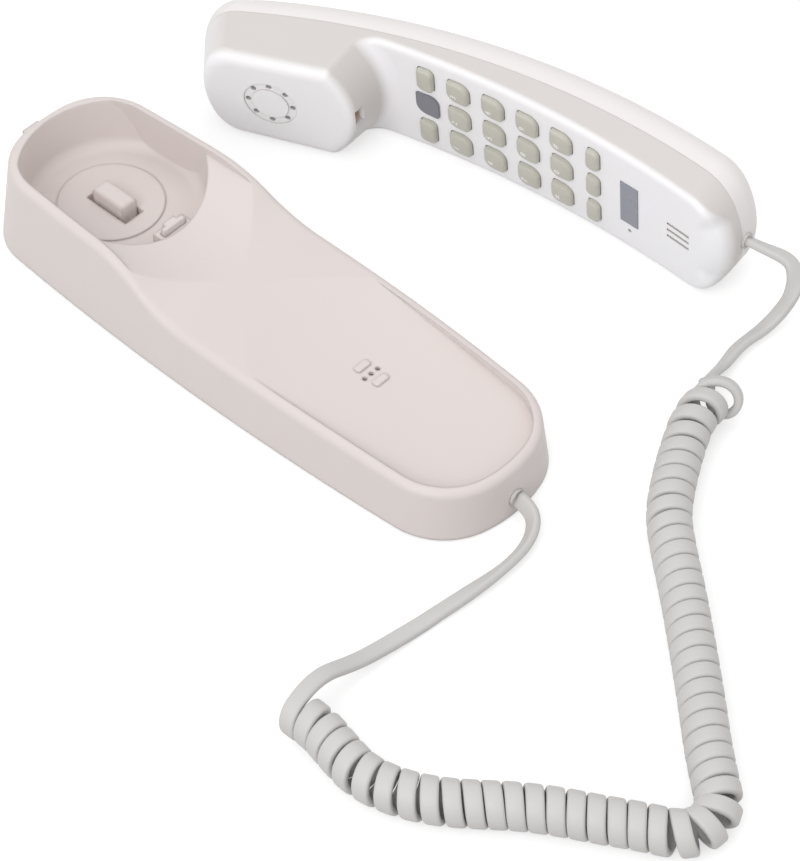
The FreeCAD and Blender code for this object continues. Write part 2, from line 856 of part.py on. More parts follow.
def bush(name, face, inner, z):
    """A round cord bush through a wall, from its outer face to a flange against the inside."""
    shank = cylinder(name + "_shank", s.bush_radius, inner - face, 0, face, z, V(0, 1, 0))
    flange = cylinder(name + "_flange", s.bush_flange, s.bush_flange_thick, 0, inner, z, V(0, 1, 0))
    return fuse(name, shank, flange)


def build_cradle():
    shell, solid = build_housing()
    node("base_housing", finish_housing(shell, solid))
    node("base_plate", build_plate())
    feet = [cylinder("foot_%d" % i, s.foot_radius, s.foot_height + s.foot_sink, x, y, ZERO)
            for i, (x, y) in enumerate(FOOT_SPOTS)]
    node("rubber_feet", compound("feet", feet))
    seat = s.foot_height + s.screw_head_depth
    screws = [screw("base_screw_%d" % i, x, y, seat, s.plate_thick - s.screw_head_depth + s.screw_bite)
              for i, (x, y) in enumerate(BOSS_SPOTS)]
    node("base_screws", compound("base_screw_set", screws))
    plunger, low = build_plunger()
    node("hook_plunger", plunger)
    node("hook_spring", build_spring(low))
    node("hook_switch", box("switch", s.switch_length, s.switch_width, s.switch_height, 0,
                            s.hook_y + s.switch_offset, PLATE_TOP))
    node("base_board", box("board", s.board_width, s.board_length, s.board_thick, 0, 0,
                           PLATE_TOP + s.board_post))
    node("ballast_plate", box("ballast", s.ballast_width, s.ballast_length, s.ballast_thick, 0,
                              s.ballast_y, PLATE_TOP))
    node("ringer_buzzer", cylinder("buzzer", s.buzzer_radius, s.buzzer_height, 0, s.sound_y,
                                   BUZZER_TOP - s.buzzer_height))
    node("line_jack", build_jack())
    node("handset_hook", build_hook())
    node("base_cord_bush", bush("base_bush", FRONT_WALL - s.bush_proud,
                                FRONT_WALL + s.base_wall + s.bush_gap, s.exit_z))


build_cradle()


# Handset: built in its own frame, then laid on its side beside the cradle


def face_z(y):
    """Height of the hollow keypad face at y."""
    away = as_size(y) - s.face_low_y
    return s.face_radius - root(s.face_radius * s.face_radius - away * away)


def arc_z(y, low_y, low_z, radius):
    away = as_size(y) - low_y
    return low_z + radius - root(radius * radius - away * away)


def rounded_end(middle, radius, half, corner, way):
    """Where a round end's corner leaves the straight side, and where it meets the end's arc."""
    height = root((radius - corner) * (radius - corner) - (half - corner) * (half - corner)) * way
    grow = radius / (radius - corner)
    return (half, middle + height), ((half - corner) * grow, middle + height * grow)


def handset_plan(name, z, inset, ear_pull, mouth_pull):
    """The handset's outline seen from the face: straight sides and two round ends, each drawn in."""
    half = s.handset_half_width - inset
    ear = s.ear_radius - inset
    mouth = s.mouth_radius - inset
    ear_corner = s.handset_ear_corner - inset
    mouth_corner = s.handset_mouth_corner - inset
    ear_middle = s.ear_end_y - s.ear_radius - ear_pull
    mouth_middle = s.handset_mouth_y + s.mouth_radius + mouth_pull
    ear_side, ear_turn = rounded_end(ear_middle, ear, half, ear_corner, 1)
    mouth_side, mouth_turn = rounded_end(mouth_middle, mouth, half, mouth_corner, -1)
    right = [mouth_turn, mouth_side, ear_side, ear_turn]
    points = right + [(-x, y) for x, y in reversed(right)]
    radii = {0: mouth_corner, 2: ear_corner, 3: ear, 4: ear_corner, 6: mouth_corner, 7: mouth}
    return outline(flat_sketch(name, z), points, radii)


def handset_block(name, inset):
    """A drafted block from the widest line, under the back, to above the ear."""
    wide = handset_plan(name + "_wide", s.widest_z, inset, ZERO, ZERO)
    # both ends lean in more than the sides
    ear_pull = TOP * (tangent(s.ear_slant) - LEAN)
    mouth_pull = TOP * (tangent(s.mouth_slant) - LEAN)
    far = handset_plan(name + "_far", s.widest_z + TOP, inset + TOP * LEAN, ear_pull, mouth_pull)
    return loft(name, wide, far)


def arc_prism(name, low_y, low_z, radius):
    """The room above a long hollow arc."""
    points = [(-REACH, arc_z(-REACH, low_y, low_z, radius)), (REACH, arc_z(REACH, low_y, low_z, radius)),
              (REACH, SKY * 2), (-REACH, SKY * 2)]
    return side_prism(name, points, {0: radius}, CROSS)


def ear_face_z(y):
    return s.ear_face_z + (as_size(y) - s.ear_face_y) * tangent(s.ear_face_tilt)


REACH = as_size(120)
TOP = as_size(64)
DEEP = as_size(32)


def handset_solid(name, inset):
    """The closed handset drawn in by inset: block, back, keypad face and raised ear."""
    block = handset_block(name + "_block", inset)
    back = arc_prism(name + "_back", s.back_low_y, s.back_low_z + inset, s.back_radius - inset)
    backed = common(name + "_backed", block, back)

    def on_back(edge):
        # the back's own arc marks its border
        middle = edge.valueAt((edge.FirstParameter + edge.LastParameter) / 2)
        height = arc_z(middle.y, s.back_low_y, s.back_low_z + inset, s.back_radius - inset).value
        return abs(middle.z - height) < 0.02 and edge.Length > 1

    rounded = fillet(name + "_rounded", backed, s.back_round - inset, on_back)
    face = arc_prism(name + "_face", s.face_low_y, ZERO - inset, s.face_radius + inset)
    slope = tangent(s.bump_draft)
    nose = cone(name + "_nose", s.bump_radius - inset + DEEP * slope, s.bump_radius - inset - TOP * slope,
                DEEP + TOP, 0, s.ear_y, -DEEP)
    rest = box(name + "_ear", CROSS, BEYOND, DEEP + TOP, 0, s.ear_y + BEYOND / 2, -DEEP)
    bump = fuse(name + "_bump", nose, rest)
    points = [(ZERO, ear_face_z(0) - inset), (BEYOND, ear_face_z(BEYOND) - inset),
              (BEYOND, SKY * 2), (ZERO, SKY * 2)]
    above_ear = side_prism(name + "_above_ear", points, {}, CROSS)
    return cut(name + "_cut", rounded, cut(name + "_face_room", face, bump), above_ear)


def handset_form(name, inset):
    """The handset's solid with its ear rounded; the outer one also gets its root and face edges."""
    solid = handset_solid(name, inset)

    def at_height(edge, height):
        middle = edge.valueAt((edge.FirstParameter + edge.LastParameter) / 2)
        return edge.Length > 0.3 and abs(middle.z - height(middle.y).value) < 0.02

    def on_ear(edge):
        return at_height(edge, lambda y: ear_face_z(y) - inset)

    def in_root(edge):
        middle = edge.valueAt((edge.FirstParameter + edge.LastParameter) / 2)
        return at_height(edge, face_z) and abs(middle.x) < 1 and middle.y > 0

    def on_face(edge):
        # the root's rounding ends on the face in a smooth border
        return at_height(edge, face_z) and not in_root(edge)

    eared = fillet(name + "_eared", solid, s.ear_round - inset, on_ear)
    if inset.value > 0:
        return eared
    rooted = fillet(name + "_rooted", eared, s.bump_root, in_root)
    soft = fillet(name + "_form", rooted, s.face_round, on_face)
    # the face's border widens round the mouth end
    rounds = []
    for i, _, _ in soft.Edges:
        edge = rooted.Shape.Edges[i - 1]
        ends = [edge.valueAt(mark) for mark in (edge.FirstParameter, edge.LastParameter)]
        rounds.append((i, *(face_round_at(end) for end in ends)))
    soft.Edges = rounds
    return soft


def face_round_at(point):
    """The face's rounding at a corner of its border: wider across the mouth end."""
    across = abs(point.x) < s.handset_half_width.value - s.handset_mouth_corner.value / 2
    return (s.face_mouth_round if across and point.y < 0 else s.face_round).value


def laid(name, obj):
    """Register a handset part and lay it with the handset on its side."""
    if obj.TypeId in ("Part::Box", "Part::Cylinder"):
        # a primitive has a place of its own in the handset
        obj = compound(name + "_laid", [obj])
    yaw = FreeCAD.Rotation(V(0, 0, 1), s.handset_yaw.value)
    roll = FreeCAD.Rotation(V(0, 1, 0), -90 - s.draft_angle.value)
    obj.Placement = FreeCAD.Placement(V(), yaw * roll)
    height = (s.handset_half_width + s.widest_z * LEAN) * cosine(s.draft_angle)
    place(obj, s.handset_x, s.handset_y, height)
    return node(name, obj)


def leaf(sketch, x, y, length, width, curve, grow):
    """A key's outline: a rectangle with two leaf-shaped corners and two tight ones."""
    half_x = width / 2 + grow
    half_y = length / 2 + grow
    big = curve + grow
    small = s.key_corner + grow
    left, right, low, high = x - half_x, x + half_x, y - half_y, y + half_y
    points = [(left + small, low), (right - big, low), (right, low + big), (right, high - small),
              (right - small, high), (left + big, high), (left, high - big), (left, low + small)]
    return outline(sketch, points, {1: big, 3: small, 5: big, 7: small})


def leaf_prism(name, x, y, length, width, curve, grow, low, high):
    sketch = leaf(flat_sketch(name + "_outline", low), x, y, length, width, curve, grow)
    return prism(name, sketch, V(0, 0, 1), as_size(high) - low)


def key_table():
    """Every key as (node name, x, y, length, width, leaf corner)."""
    columns = (-s.key_column_pitch, ZERO, s.key_column_pitch)
    numbers = (("1", "2", "3"), ("4", "5", "6"), ("7", "8", "9"), ("star", "0", "hash"))
    keys = []
    for row, names in enumerate(numbers):
        y = s.key_row_pitch * (1 - row)
        for x, mark in zip(columns, names):
            keys.append(("key_" + mark, x, y, s.key_length, s.key_width, s.key_leaf))
    for x, side in zip(columns[::2], ("left", "right")):
        keys.append(("key_upper_" + side, x, s.memory_y, s.memory_length, s.memory_width,
                     s.small_key_leaf))
    for x, side in zip(columns, ("left", "middle", "right")):
        keys.append(("key_lower_" + side, x, s.function_y, s.function_length, s.function_width,
                     s.small_key_leaf))
    return keys


def pad(body, name, z, height, draw):
    """A pad on the body's own XY plane, raised to z, from the outline that draw makes."""
    sketch = body.newObject("Sketcher::SketchObject", name + "_sketch")
    plane = [f for f in body.Origin.OriginFeatures if f.Role == "XY_Plane"][0]
    sketch.AttachmentSupport = [(plane, "")]
    sketch.MapMode = "FlatFace"
    bind(sketch, "AttachmentOffset.Base.z", z)
    draw(sketch)
    obj = body.newObject("PartDesign::Pad", name)
    obj.Profile = sketch
    bind(obj, "Length", height)
    return obj


def key_body(name, x, y, length, width, curve):
    """A key cap with a flange under the face and a stem towards the rubber mat."""
    top = face_z(y) + s.key_rise
    flange_top = face_z(y) - s.handset_wall - s.key_seat
    low = flange_top - s.key_flange_thick
    stem_low = s.mat_z + s.key_travel + s.seat_gap
    body = doc.addObject("PartDesign::Body", name + "_body")

    def stem_outline(sketch):
        sketch.addGeometry(Part.Circle(V(x.value, y.value, 0), V(0, 0, 1), s.key_stem.value), False)
        fix_point(sketch, 0, 3, x, y)
        fix_radius(sketch, 0, s.key_stem)

    pad(body, name + "_flange", low, s.key_flange_thick,
        lambda sketch: leaf(sketch, x, y, length, width, curve, s.key_flange))
    cap = pad(body, name + "_cap", low, top - low,
              lambda sketch: leaf(sketch, x, y, length, width, curve, ZERO))
    doc.recompute()
    edges = ["Edge%d" % i for i, edge in enumerate(cap.Shape.Edges, start=1)
             if edge.BoundBox.ZMin > top.value - 1e-3]
    rounds = body.newObject("PartDesign::Fillet", name + "_round")
    rounds.Base = (cap, edges)
    bind(rounds, "Radius", s.key_round)
    pad(body, name + "_stem", stem_low, low - stem_low, stem_outline)
    return body


MAT_LOW = s.function_y - s.function_length / 2 - s.key_flange - s.mat_side
MAT_HIGH = s.memory_y + s.lens_length / 2 + s.key_flange + s.mat_side
MAT_WIDTH = (s.key_column_pitch + s.memory_width / 2 + s.key_flange + s.mat_side) * 2
BOARD_TOP = s.mat_z - s.mat_thick
HANDSET_SCREWS = [(-s.handset_screw_x, s.handset_screw_ear_y), (s.handset_screw_x, s.handset_screw_ear_y),
                  (ZERO, s.handset_screw_mouth_y)]
MOUTH_WALL = s.handset_mouth_y + (s.handset_exit_z - s.widest_z) * tangent(s.mouth_slant)


def seam_z(y):
    return arc_z(y, s.seam_low_y, s.seam_low_z, s.seam_radius)


def screw_seat(y):
    """Height of the screw heads' seat, sunk into the back at y."""
    return arc_z(y, s.back_low_y, s.back_low_z, s.back_radius) + s.handset_screw_sink


def face_tilt(y):
    return math.degrees(math.asin((y.value - s.face_low_y.value) / s.face_radius.value))


def on_face_box(name, dx, dy, rise, sink, y):
    """A box that lies along the hollow face at y, from sink below it to rise above it."""
    lean = as_size(face_tilt(y))
    obj = doc.addObject("Part::Box", name)
    bind(obj, "Length", dx)
    bind(obj, "Width", dy)
    bind(obj, "Height", rise + sink)
    obj.Placement = FreeCAD.Placement(V(), FreeCAD.Rotation(V(1, 0, 0), lean.value))
    return place(obj, -dx / 2, y - dy / 2 * cosine(lean) + sink * sine(lean),
                 face_z(y) - dy / 2 * sine(lean) - sink * cosine(lean))


def ear_disc(name, radius, depth, thick, off=ZERO, angle=0.0):
    """A disc along the ear's axis, from depth + thick to depth under the ear face."""
    tilt = s.ear_face_tilt
    axis = V(0, -math.sin(math.radians(tilt.value)), math.cos(math.radians(tilt.value)))
    down = depth + thick
    aside = off * math.cos(angle)
    along = off * math.sin(angle)
    return cylinder(name, radius, thick, aside, s.ear_face_y + along * cosine(tilt) + down * sine(tilt),
                    s.ear_face_z + along * sine(tilt) - down * cosine(tilt), axis)


def keypad_openings():
    tools = [leaf_prism("hole_" + name, x, y, length, width, curve, s.key_gap, -DEEP / 4, SKY)
             for name, x, y, length, width, curve in key_table()]
    tools.append(leaf_prism("hole_lens", ZERO, s.memory_y, s.lens_length, s.lens_width, s.key_leaf, ZERO,
                            -DEEP / 4, SKY))
    return tools


def mouth_openings():
    tools = [
        on_face_box("badge_recess", s.badge_width, s.badge_length, s.badge_rise * 4, s.badge_sink, s.badge_y),
        cylinder("pinhole", s.pinhole_radius, SKY, s.pinhole_x, s.badge_y, ZERO),
    ]
    for i in range(3):
        tools.append(box("mic_slot_%d" % i, s.mic_slot_width, s.mic_slot_length, SKY,
                         s.mic_slot_pitch * (i - 1), s.mic_y, ZERO))
    return tools


def ear_openings():
    """A ring of sound holes in a shallow groove, and the hole that the cradle's hook enters."""
    deep = s.handset_wall * 2
    count = int(s.ear_holes.value)
    tools = [ear_disc("ear_hole_%d" % i, s.ear_hole_radius, -deep / 2, deep * 2, s.ring_radius,
                      2 * math.pi * i / count) for i in range(count)]
    groove = ear_disc("groove_disc", s.ring_radius + s.ring_groove_half, -deep, deep + s.ring_groove)
    core = ear_disc("groove_core", s.ring_radius - s.ring_groove_half, -deep, deep * 2)
    tools.append(cut("ear_groove", groove, core))
    tools.append(box("catch_hole", s.catch_width, s.catch_depth, s.catch_height, 0,
                     s.ear_y - s.bump_radius + s.catch_depth / 2, s.catch_z))
    return tools


def build_shells():
    outside = handset_form("handset", ZERO)
    cavity = handset_form("handset_cavity", s.handset_wall)
    shell = cut("handset_shell", outside, cavity)
    above = arc_prism("seam", s.seam_low_y, s.seam_low_z, s.seam_radius)
    front_posts = []
    back_posts = []
    front_holes = []
    back_holes = []
    for i, (x, y) in enumerate(HANDSET_SCREWS):
        front_posts.append(cylinder("front_boss_%d" % i, s.handset_boss_radius,
                                    face_z(y) - s.handset_wall / 2 - seam_z(y), x, y, seam_z(y)))
        front_holes.append(cylinder("front_bore_%d" % i, s.screw_radius, s.handset_screw_bite + s.screw_gap,
                                    x, y, seam_z(y)))
        foot = cylinder("back_boss_%d" % i, s.screw_head_radius + s.handset_wall, DEEP + seam_z(y),
                        x, y, -DEEP)
        back_posts.append(common("back_boss_in_%d" % i, foot, outside))
        back_holes.append(cylinder("back_bore_%d" % i, s.screw_radius + s.screw_gap, DEEP * 2, x, y, -DEEP))
        back_holes.append(cylinder("back_sink_%d" % i, s.screw_head_radius + s.screw_gap,
                                   DEEP + screw_seat(y), x, y, -DEEP))
    for i, (x, y) in enumerate(board_post_spots()):
        front_posts.append(cylinder("handset_post_%d" % i, s.handset_post_radius,
                                    face_z(y) - s.handset_wall / 2 - BOARD_TOP, x, y, BOARD_TOP))
    # the seam runs through the cord's bush, which both shells hold
    for holes, name in ((front_holes, "front_bush_hole"), (back_holes, "back_bush_hole")):
        holes.append(cylinder(name, s.bush_radius, s.handset_wall * 4, 0, MOUTH_WALL - s.handset_wall,
                              s.handset_exit_z, V(0, 1, 0)))
    front = fuse("front_with_posts", common("front_raw", shell, above), *front_posts)
    keyed = cut("front_keyed", front, *keypad_openings())
    mouthed = cut("front_mouthed", keyed, *mouth_openings())
    eared = cut("front_eared", mouthed, *ear_openings())
    back = fuse("back_with_posts", cut("back_raw", shell, above), *back_posts)
    laid("handset_front_shell", cut("front_shell", eared, *front_holes))
    laid("handset_back_shell", cut("back_shell", back, *back_holes))
    return cavity


def board_post_spots():
    beyond = s.handset_board_side / 2
    return [(x, y) for x in (-s.handset_post_x, s.handset_post_x)
            for y in (MAT_LOW - beyond, MAT_HIGH + beyond)]


def build_lens(cavity):
    """Indicator lens: a leaf in the face with a foot bonded to the wall's underside."""
    low = BOARD_TOP + s.led_height + s.seat_gap
    cap = leaf_prism("lens_cap", ZERO, s.memory_y, s.lens_length, s.lens_width, s.key_leaf, ZERO, low,
                     face_z(s.memory_y) + s.lens_rise)
    foot = leaf_prism("lens_foot", ZERO, s.memory_y, s.lens_length, s.lens_width, s.key_leaf, s.key_flange,
                      low, SKY)
    return fuse("lens", cap, common("lens_flange", foot, cavity))


def build_handset():
    cavity = build_shells()
    for name, *sizes in key_table():
        laid(name, key_body(name, *sizes))
    middle = (MAT_LOW + MAT_HIGH) / 2
    sheet_body = box("mat_sheet", MAT_WIDTH, MAT_HIGH - MAT_LOW, s.mat_thick, 0, middle, BOARD_TOP)
    led_hole = cylinder("mat_led_hole", s.led_radius + s.screw_gap, s.mat_thick * 3, 0, s.memory_y,
                        BOARD_TOP - s.mat_thick)
    laid("key_mat", cut("mat", sheet_body, led_hole))
    laid("handset_board", box("keypad_board", MAT_WIDTH, MAT_HIGH - MAT_LOW + s.handset_board_side * 2,
                              s.handset_board_thick, 0, middle, BOARD_TOP - s.handset_board_thick))
    laid("ring_led", cylinder("led", s.led_radius, s.led_height, 0, s.memory_y, BOARD_TOP))
    laid("indicator_lens", build_lens(cavity))
    laid("badge_plate", on_face_box("badge", s.badge_width, s.badge_length, s.badge_rise, s.badge_sink,
                                    s.badge_y))
    gasket = cut("gasket", ear_disc("gasket_disc", s.gasket_radius, s.handset_wall, s.gasket_thick),
                 ear_disc("gasket_hole", s.gasket_bore, ZERO, s.handset_wall + s.gasket_thick * 2))
    laid("earpiece_gasket", gasket)
    laid("earpiece_speaker", ear_disc("speaker", s.speaker_radius, s.handset_wall + s.gasket_thick,
                                      s.speaker_height))
    lean = math.radians(face_tilt(s.mic_y))
    drop = s.handset_wall + s.mic_height
    laid("microphone", cylinder("mic", s.mic_radius, s.mic_height, 0,
                                s.mic_y + drop * math.sin(lean), face_z(s.mic_y) - drop * math.cos(lean),
                                V(0, -math.sin(lean), math.cos(lean))))
    screws = [screw("handset_screw_%d" % i, x, y, screw_seat(y),
                    seam_z(y) + s.handset_screw_bite - screw_seat(y))
              for i, (x, y) in enumerate(HANDSET_SCREWS)]
    laid("handset_screws", compound("handset_screw_set", screws))
    laid("handset_cord_bush", bush("handset_bush", MOUTH_WALL - s.bush_proud,
                                   MOUTH_WALL + s.handset_wall + s.bush_gap, s.handset_exit_z))


build_handset()


# Cord: a lead from the cradle, a curly stretch on the floor and a lead up to the handset

BASE_LEAD = [(0, -101.5, 5.6), (-1.6, -105.2, 3.8), (-6.4, -108.0, 2.3), (-13.9, -109.4, 1.95),
             (-22.4, -109.3, 1.92), (-31.7, -108.1, 1.92), (-41.2, -106.7, 1.93), (-51.8, -105.3, 2.0),
             (-62.8, -104.2, 2.9), (-73.2, -103.7, 5.6)]
COIL_AXIS = [(-96.6, -104.6), (-96.2, -112.2), (-98.4, -121.6), (-100.0, -131.2), (-97.6, -141.8),
             (-92.3, -151.9), (-86.0, -159.9), (-79.8, -167.3), (-73.8, -176.0), (-67.9, -186.5),
             (-62.6, -195.2), (-57.7, -204.6), (-53.2, -207.6), (-47.8, -208.1), (-42.8, -206.1),
             (-37.2, -199.4), (-30.0, -191.2), (-20.6, -181.5), (-9.2, -169.2), (4.0, -154.7),
             (14.3, -142.6), (23.5, -132.6), (35.5, -125.0), (46.1, -119.3), (55.2, -114.6),
             (62.4, -112.9), (68.6, -114.6), (72.6, -119.0)]
HANDSET_LEAD = [(82.9, -105.2, 1.95), (89.8, -103.9, 1.95), (96.2, -104.2, 1.95), (102.2, -104.9, 2.6),
                (107.0, -106.0, 6.0), (110.2, -107.1, 11.0), (112.6, -106.2, 16.5), (114.0, -102.6, 20.0)]
COIL_APPROACH = 9
EXIT_RUN = 5


def run_and_arcs(points):
    """Straight runs joined by the largest tangent arcs that they allow."""
    curves = []
    radii = []
    last = points[0]
    for before, corner, after in zip(points, points[1:], points[2:]):
        back = before - corner
        ahead = after - corner
        reach = 0.45 * min(back.Length, ahead.Length)
        start = corner + back.normalize() * reach
        end = corner + ahead.normalize() * reach
        turn = math.pi - back.getAngle(ahead)
        radii.append(reach / math.tan(turn / 2))
        curves.append(Part.LineSegment(last, start))
        curves.append(tangent_arc(start, corner, end))
        last = end
    curves.append(Part.LineSegment(last, points[-1]))
    return curves, radii


def along_curves(curves):
    """A function from the distance along the curves to the point, heading and curvature there."""
    edges = [curve.toShape() for curve in curves]
    lengths = [edge.Length for edge in edges]

    def at(distance):
        left = distance
        for edge, length in zip(edges, lengths):
            if left <= length or edge is edges[-1]:
                mark = edge.getParameterByLength(min(max(left, 0), length))
                return edge.valueAt(mark), edge.tangentAt(mark), edge.curvatureAt(mark)
            left -= length

    return at, sum(lengths)


def coil_curves():
    """The curly stretch: half-turn biarcs round the axis, from its top to its bottom."""
    wire = s.cord_wire.value
    radius = (s.coil_outer.value - wire) / 2
    height = s.coil_outer.value / 2
    axis, radii = run_and_arcs([V(x, y, height) for x, y in COIL_AXIS])
    print("coil axis radii: " + ", ".join("%.0f" % r for r in radii))
    at, length = along_curves(axis)
    per_turn = 24
    places = [0.0]
    while places[-1] < length:
        # bends open the curls so that their inner sides stay apart
        _, _, bend = at(places[-1])
        room = (wire + s.coil_gap.value) / (1 - radius * bend)
        places.append(places[-1] + max(s.coil_pitch.value, room) / per_turn)
    halves = (len(places) - 2) // (per_turn // 2)
    halves -= 1 - halves % 2

    def spot(step):
        low = min(max(int(math.floor(step)), 0), len(places) - 2)
        distance = places[low] + (places[low + 1] - places[low]) * (step - low)
        point, heading, _ = at(distance)
        if distance < 0:
            point = point + heading * distance
        angle = math.pi / 2 + 2 * math.pi * step / per_turn
        side = V(-heading.y, heading.x, 0)
        return point + side * (radius * math.cos(angle)) + V(0, 0, radius * math.sin(angle))

    steps = halves * per_turn // 2
    curves, enter, leave = turned_wire(spot, steps, per_turn)
    check_gap([spot(i) for i in range(steps + 1)], per_turn)
    print("coil: %.1f turns on %.0f mm of axis" % (halves / 2, places[steps]))
    first, last = spot(0), spot(steps)
    head = Part.LineSegment(first - enter * wire, first)
    tail = Part.LineSegment(last, last + leave * wire)
    return [head] + curves + [tail]


def check_gap(points, per_turn):
    """Print the least gap of the wound wire to itself."""
    apart = per_turn // 2
    least = min(points[i].distanceToPoint(points[j])
                for i in range(len(points)) for j in range(i + apart, min(i + 3 * per_turn, len(points))))
    print("coil: least gap to itself %.2f mm" % (least - s.cord_wire.value))


def lead(name, points):
    curves, radii = run_and_arcs(points)
    print(name + " radii: " + ", ".join("%.1f" % r for r in radii))
    return node(name, swept(name + "_tube", curves, s.cord_wire.value / 2))


def build_cord():
    curves = coil_curves()
    node("coil_cord", swept("coil_tube", curves, s.cord_wire.value / 2))
    start, end = curves[0], curves[-1]
    into = (start.EndPoint - start.StartPoint).normalize()
    out = (end.EndPoint - end.StartPoint).normalize()
    base = V(0, (FRONT_WALL - s.bush_proud).value, s.exit_z.value)
    lead("cord_base_lead", [base] + [V(*p) for p in BASE_LEAD]
         + [start.StartPoint - into * COIL_APPROACH, start.StartPoint])
    bush_obj = nodes["handset_cord_bush"]
    doc.recompute()
    tip = bush_obj.Placement.multVec(V(0, (MOUTH_WALL - s.bush_proud).value, s.handset_exit_z.value))
    away = bush_obj.Placement.Rotation.multVec(V(0, -1, 0))
    lead("cord_handset_lead", [end.EndPoint, end.EndPoint + out * EXIT_RUN] + [V(*p) for p in HANDSET_LEAD]
         + [tip + away * EXIT_RUN, tip])


build_cord()


def finish():
    doc.recompute()
    for obj in doc.Objects:
        if "Invalid" in obj.State or "Error" in obj.State:
            raise RuntimeError("%s failed: %s" % (obj.Name, obj.State))
    for name, obj in nodes.items():
        if obj.Shape.isNull() or not obj.Shape.isValid():
            raise RuntimeError("%s has no valid shape" % name)
    os.makedirs("parts", exist_ok=True)
    for name, obj in nodes.items():
        obj.Shape.exportStep("parts/%s.step" % name)
        print(name, len(obj.Shape.Solids), round(obj.Shape.Volume, 1))


finish()
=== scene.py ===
"""Looks of the corded telephone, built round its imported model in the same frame, in metres."""
import json
import math

import bmesh
import bpy
from mathutils import Matrix, Vector
from mathutils.bvhtree import BVHTree


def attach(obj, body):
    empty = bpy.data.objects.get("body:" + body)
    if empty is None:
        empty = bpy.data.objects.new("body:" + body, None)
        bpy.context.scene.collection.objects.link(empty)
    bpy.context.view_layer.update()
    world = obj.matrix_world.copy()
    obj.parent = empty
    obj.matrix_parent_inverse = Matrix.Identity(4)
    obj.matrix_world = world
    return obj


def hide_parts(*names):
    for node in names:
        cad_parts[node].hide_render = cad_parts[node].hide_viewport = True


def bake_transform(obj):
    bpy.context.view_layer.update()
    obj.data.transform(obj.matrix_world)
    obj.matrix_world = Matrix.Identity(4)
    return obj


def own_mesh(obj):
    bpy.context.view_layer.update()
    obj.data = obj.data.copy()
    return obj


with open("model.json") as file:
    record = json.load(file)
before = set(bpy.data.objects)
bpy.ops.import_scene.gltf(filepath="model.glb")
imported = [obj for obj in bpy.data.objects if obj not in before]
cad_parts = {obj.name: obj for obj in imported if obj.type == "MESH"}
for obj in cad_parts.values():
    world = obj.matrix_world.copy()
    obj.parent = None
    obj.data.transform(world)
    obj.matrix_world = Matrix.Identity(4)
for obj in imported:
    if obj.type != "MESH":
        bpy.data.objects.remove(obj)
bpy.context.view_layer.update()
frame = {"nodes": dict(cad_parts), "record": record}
scene = bpy.context.scene
nodes = frame["nodes"]
MM = 0.001
UP = Vector((0, 0, 1))

# The handset lies on its side: its own frame has its length along y and its keypad looking along +z
HANDSET_PLACE = Vector((94.6, -3.9, 20.763)) * MM
HANDSET_YAW = math.radians(8.4)
HANDSET_ROLL = math.radians(-96)
HANDSET_POSE = (Matrix.Translation(HANDSET_PLACE) @ Matrix.Rotation(HANDSET_YAW, 4, "Z")
                @ Matrix.Rotation(HANDSET_ROLL, 4, "Y"))
# The way that the laid keypad looks, which the plastics' painted light and painted shade follow
KEYPAD_OUTWARD = HANDSET_POSE.to_3x3() @ UP


# Materials

DRIFT_SCALE = 14
DRIFT_SPAN = (0.35, 0.65)
PAINTED_SHADE_SPAN = (0.25, 0.75)
POLISH_SCALE = 160
POLISH_SPREAD = 0.05
GRAIN_STRENGTH = 0.35
PLASTIC_SHINE = 0.4
BEVEL_SAMPLES = 4
BRUSH_SCALE = 900
BRUSH_STRETCH = (1, 12, 1)
BRUSH_SHADE = 0.8
BRUSH_ROUGHER = 0.15
BRUSH_STRENGTH = 0.2
BRUSH_DEPTH = 0.00002
CLOUD_SCALE = 90
CLOUD_SHADE = 0.85
RUBBER_POLISH_SCALE = 700
RUBBER_POLISH_SPREAD = 0.08
TOOTH_SCALE = 1800
TOOTH_STRENGTH = 0.5
TOOTH_DEPTH = 0.00003


def srgb(red, green, blue):
    """A colour written as it is seen, 0 to 255, as a linear colour."""
    def linear(value):
        value /= 255
        return value / 12.92 if value <= 0.04045 else ((value + 0.055) / 1.055) ** 2.4
    return linear(red), linear(green), linear(blue), 1.0


def shade(colour, factor):
    """The colour made darker or lighter by a factor."""
    return tuple(c * factor for c in colour[:3]) + (1.0,)


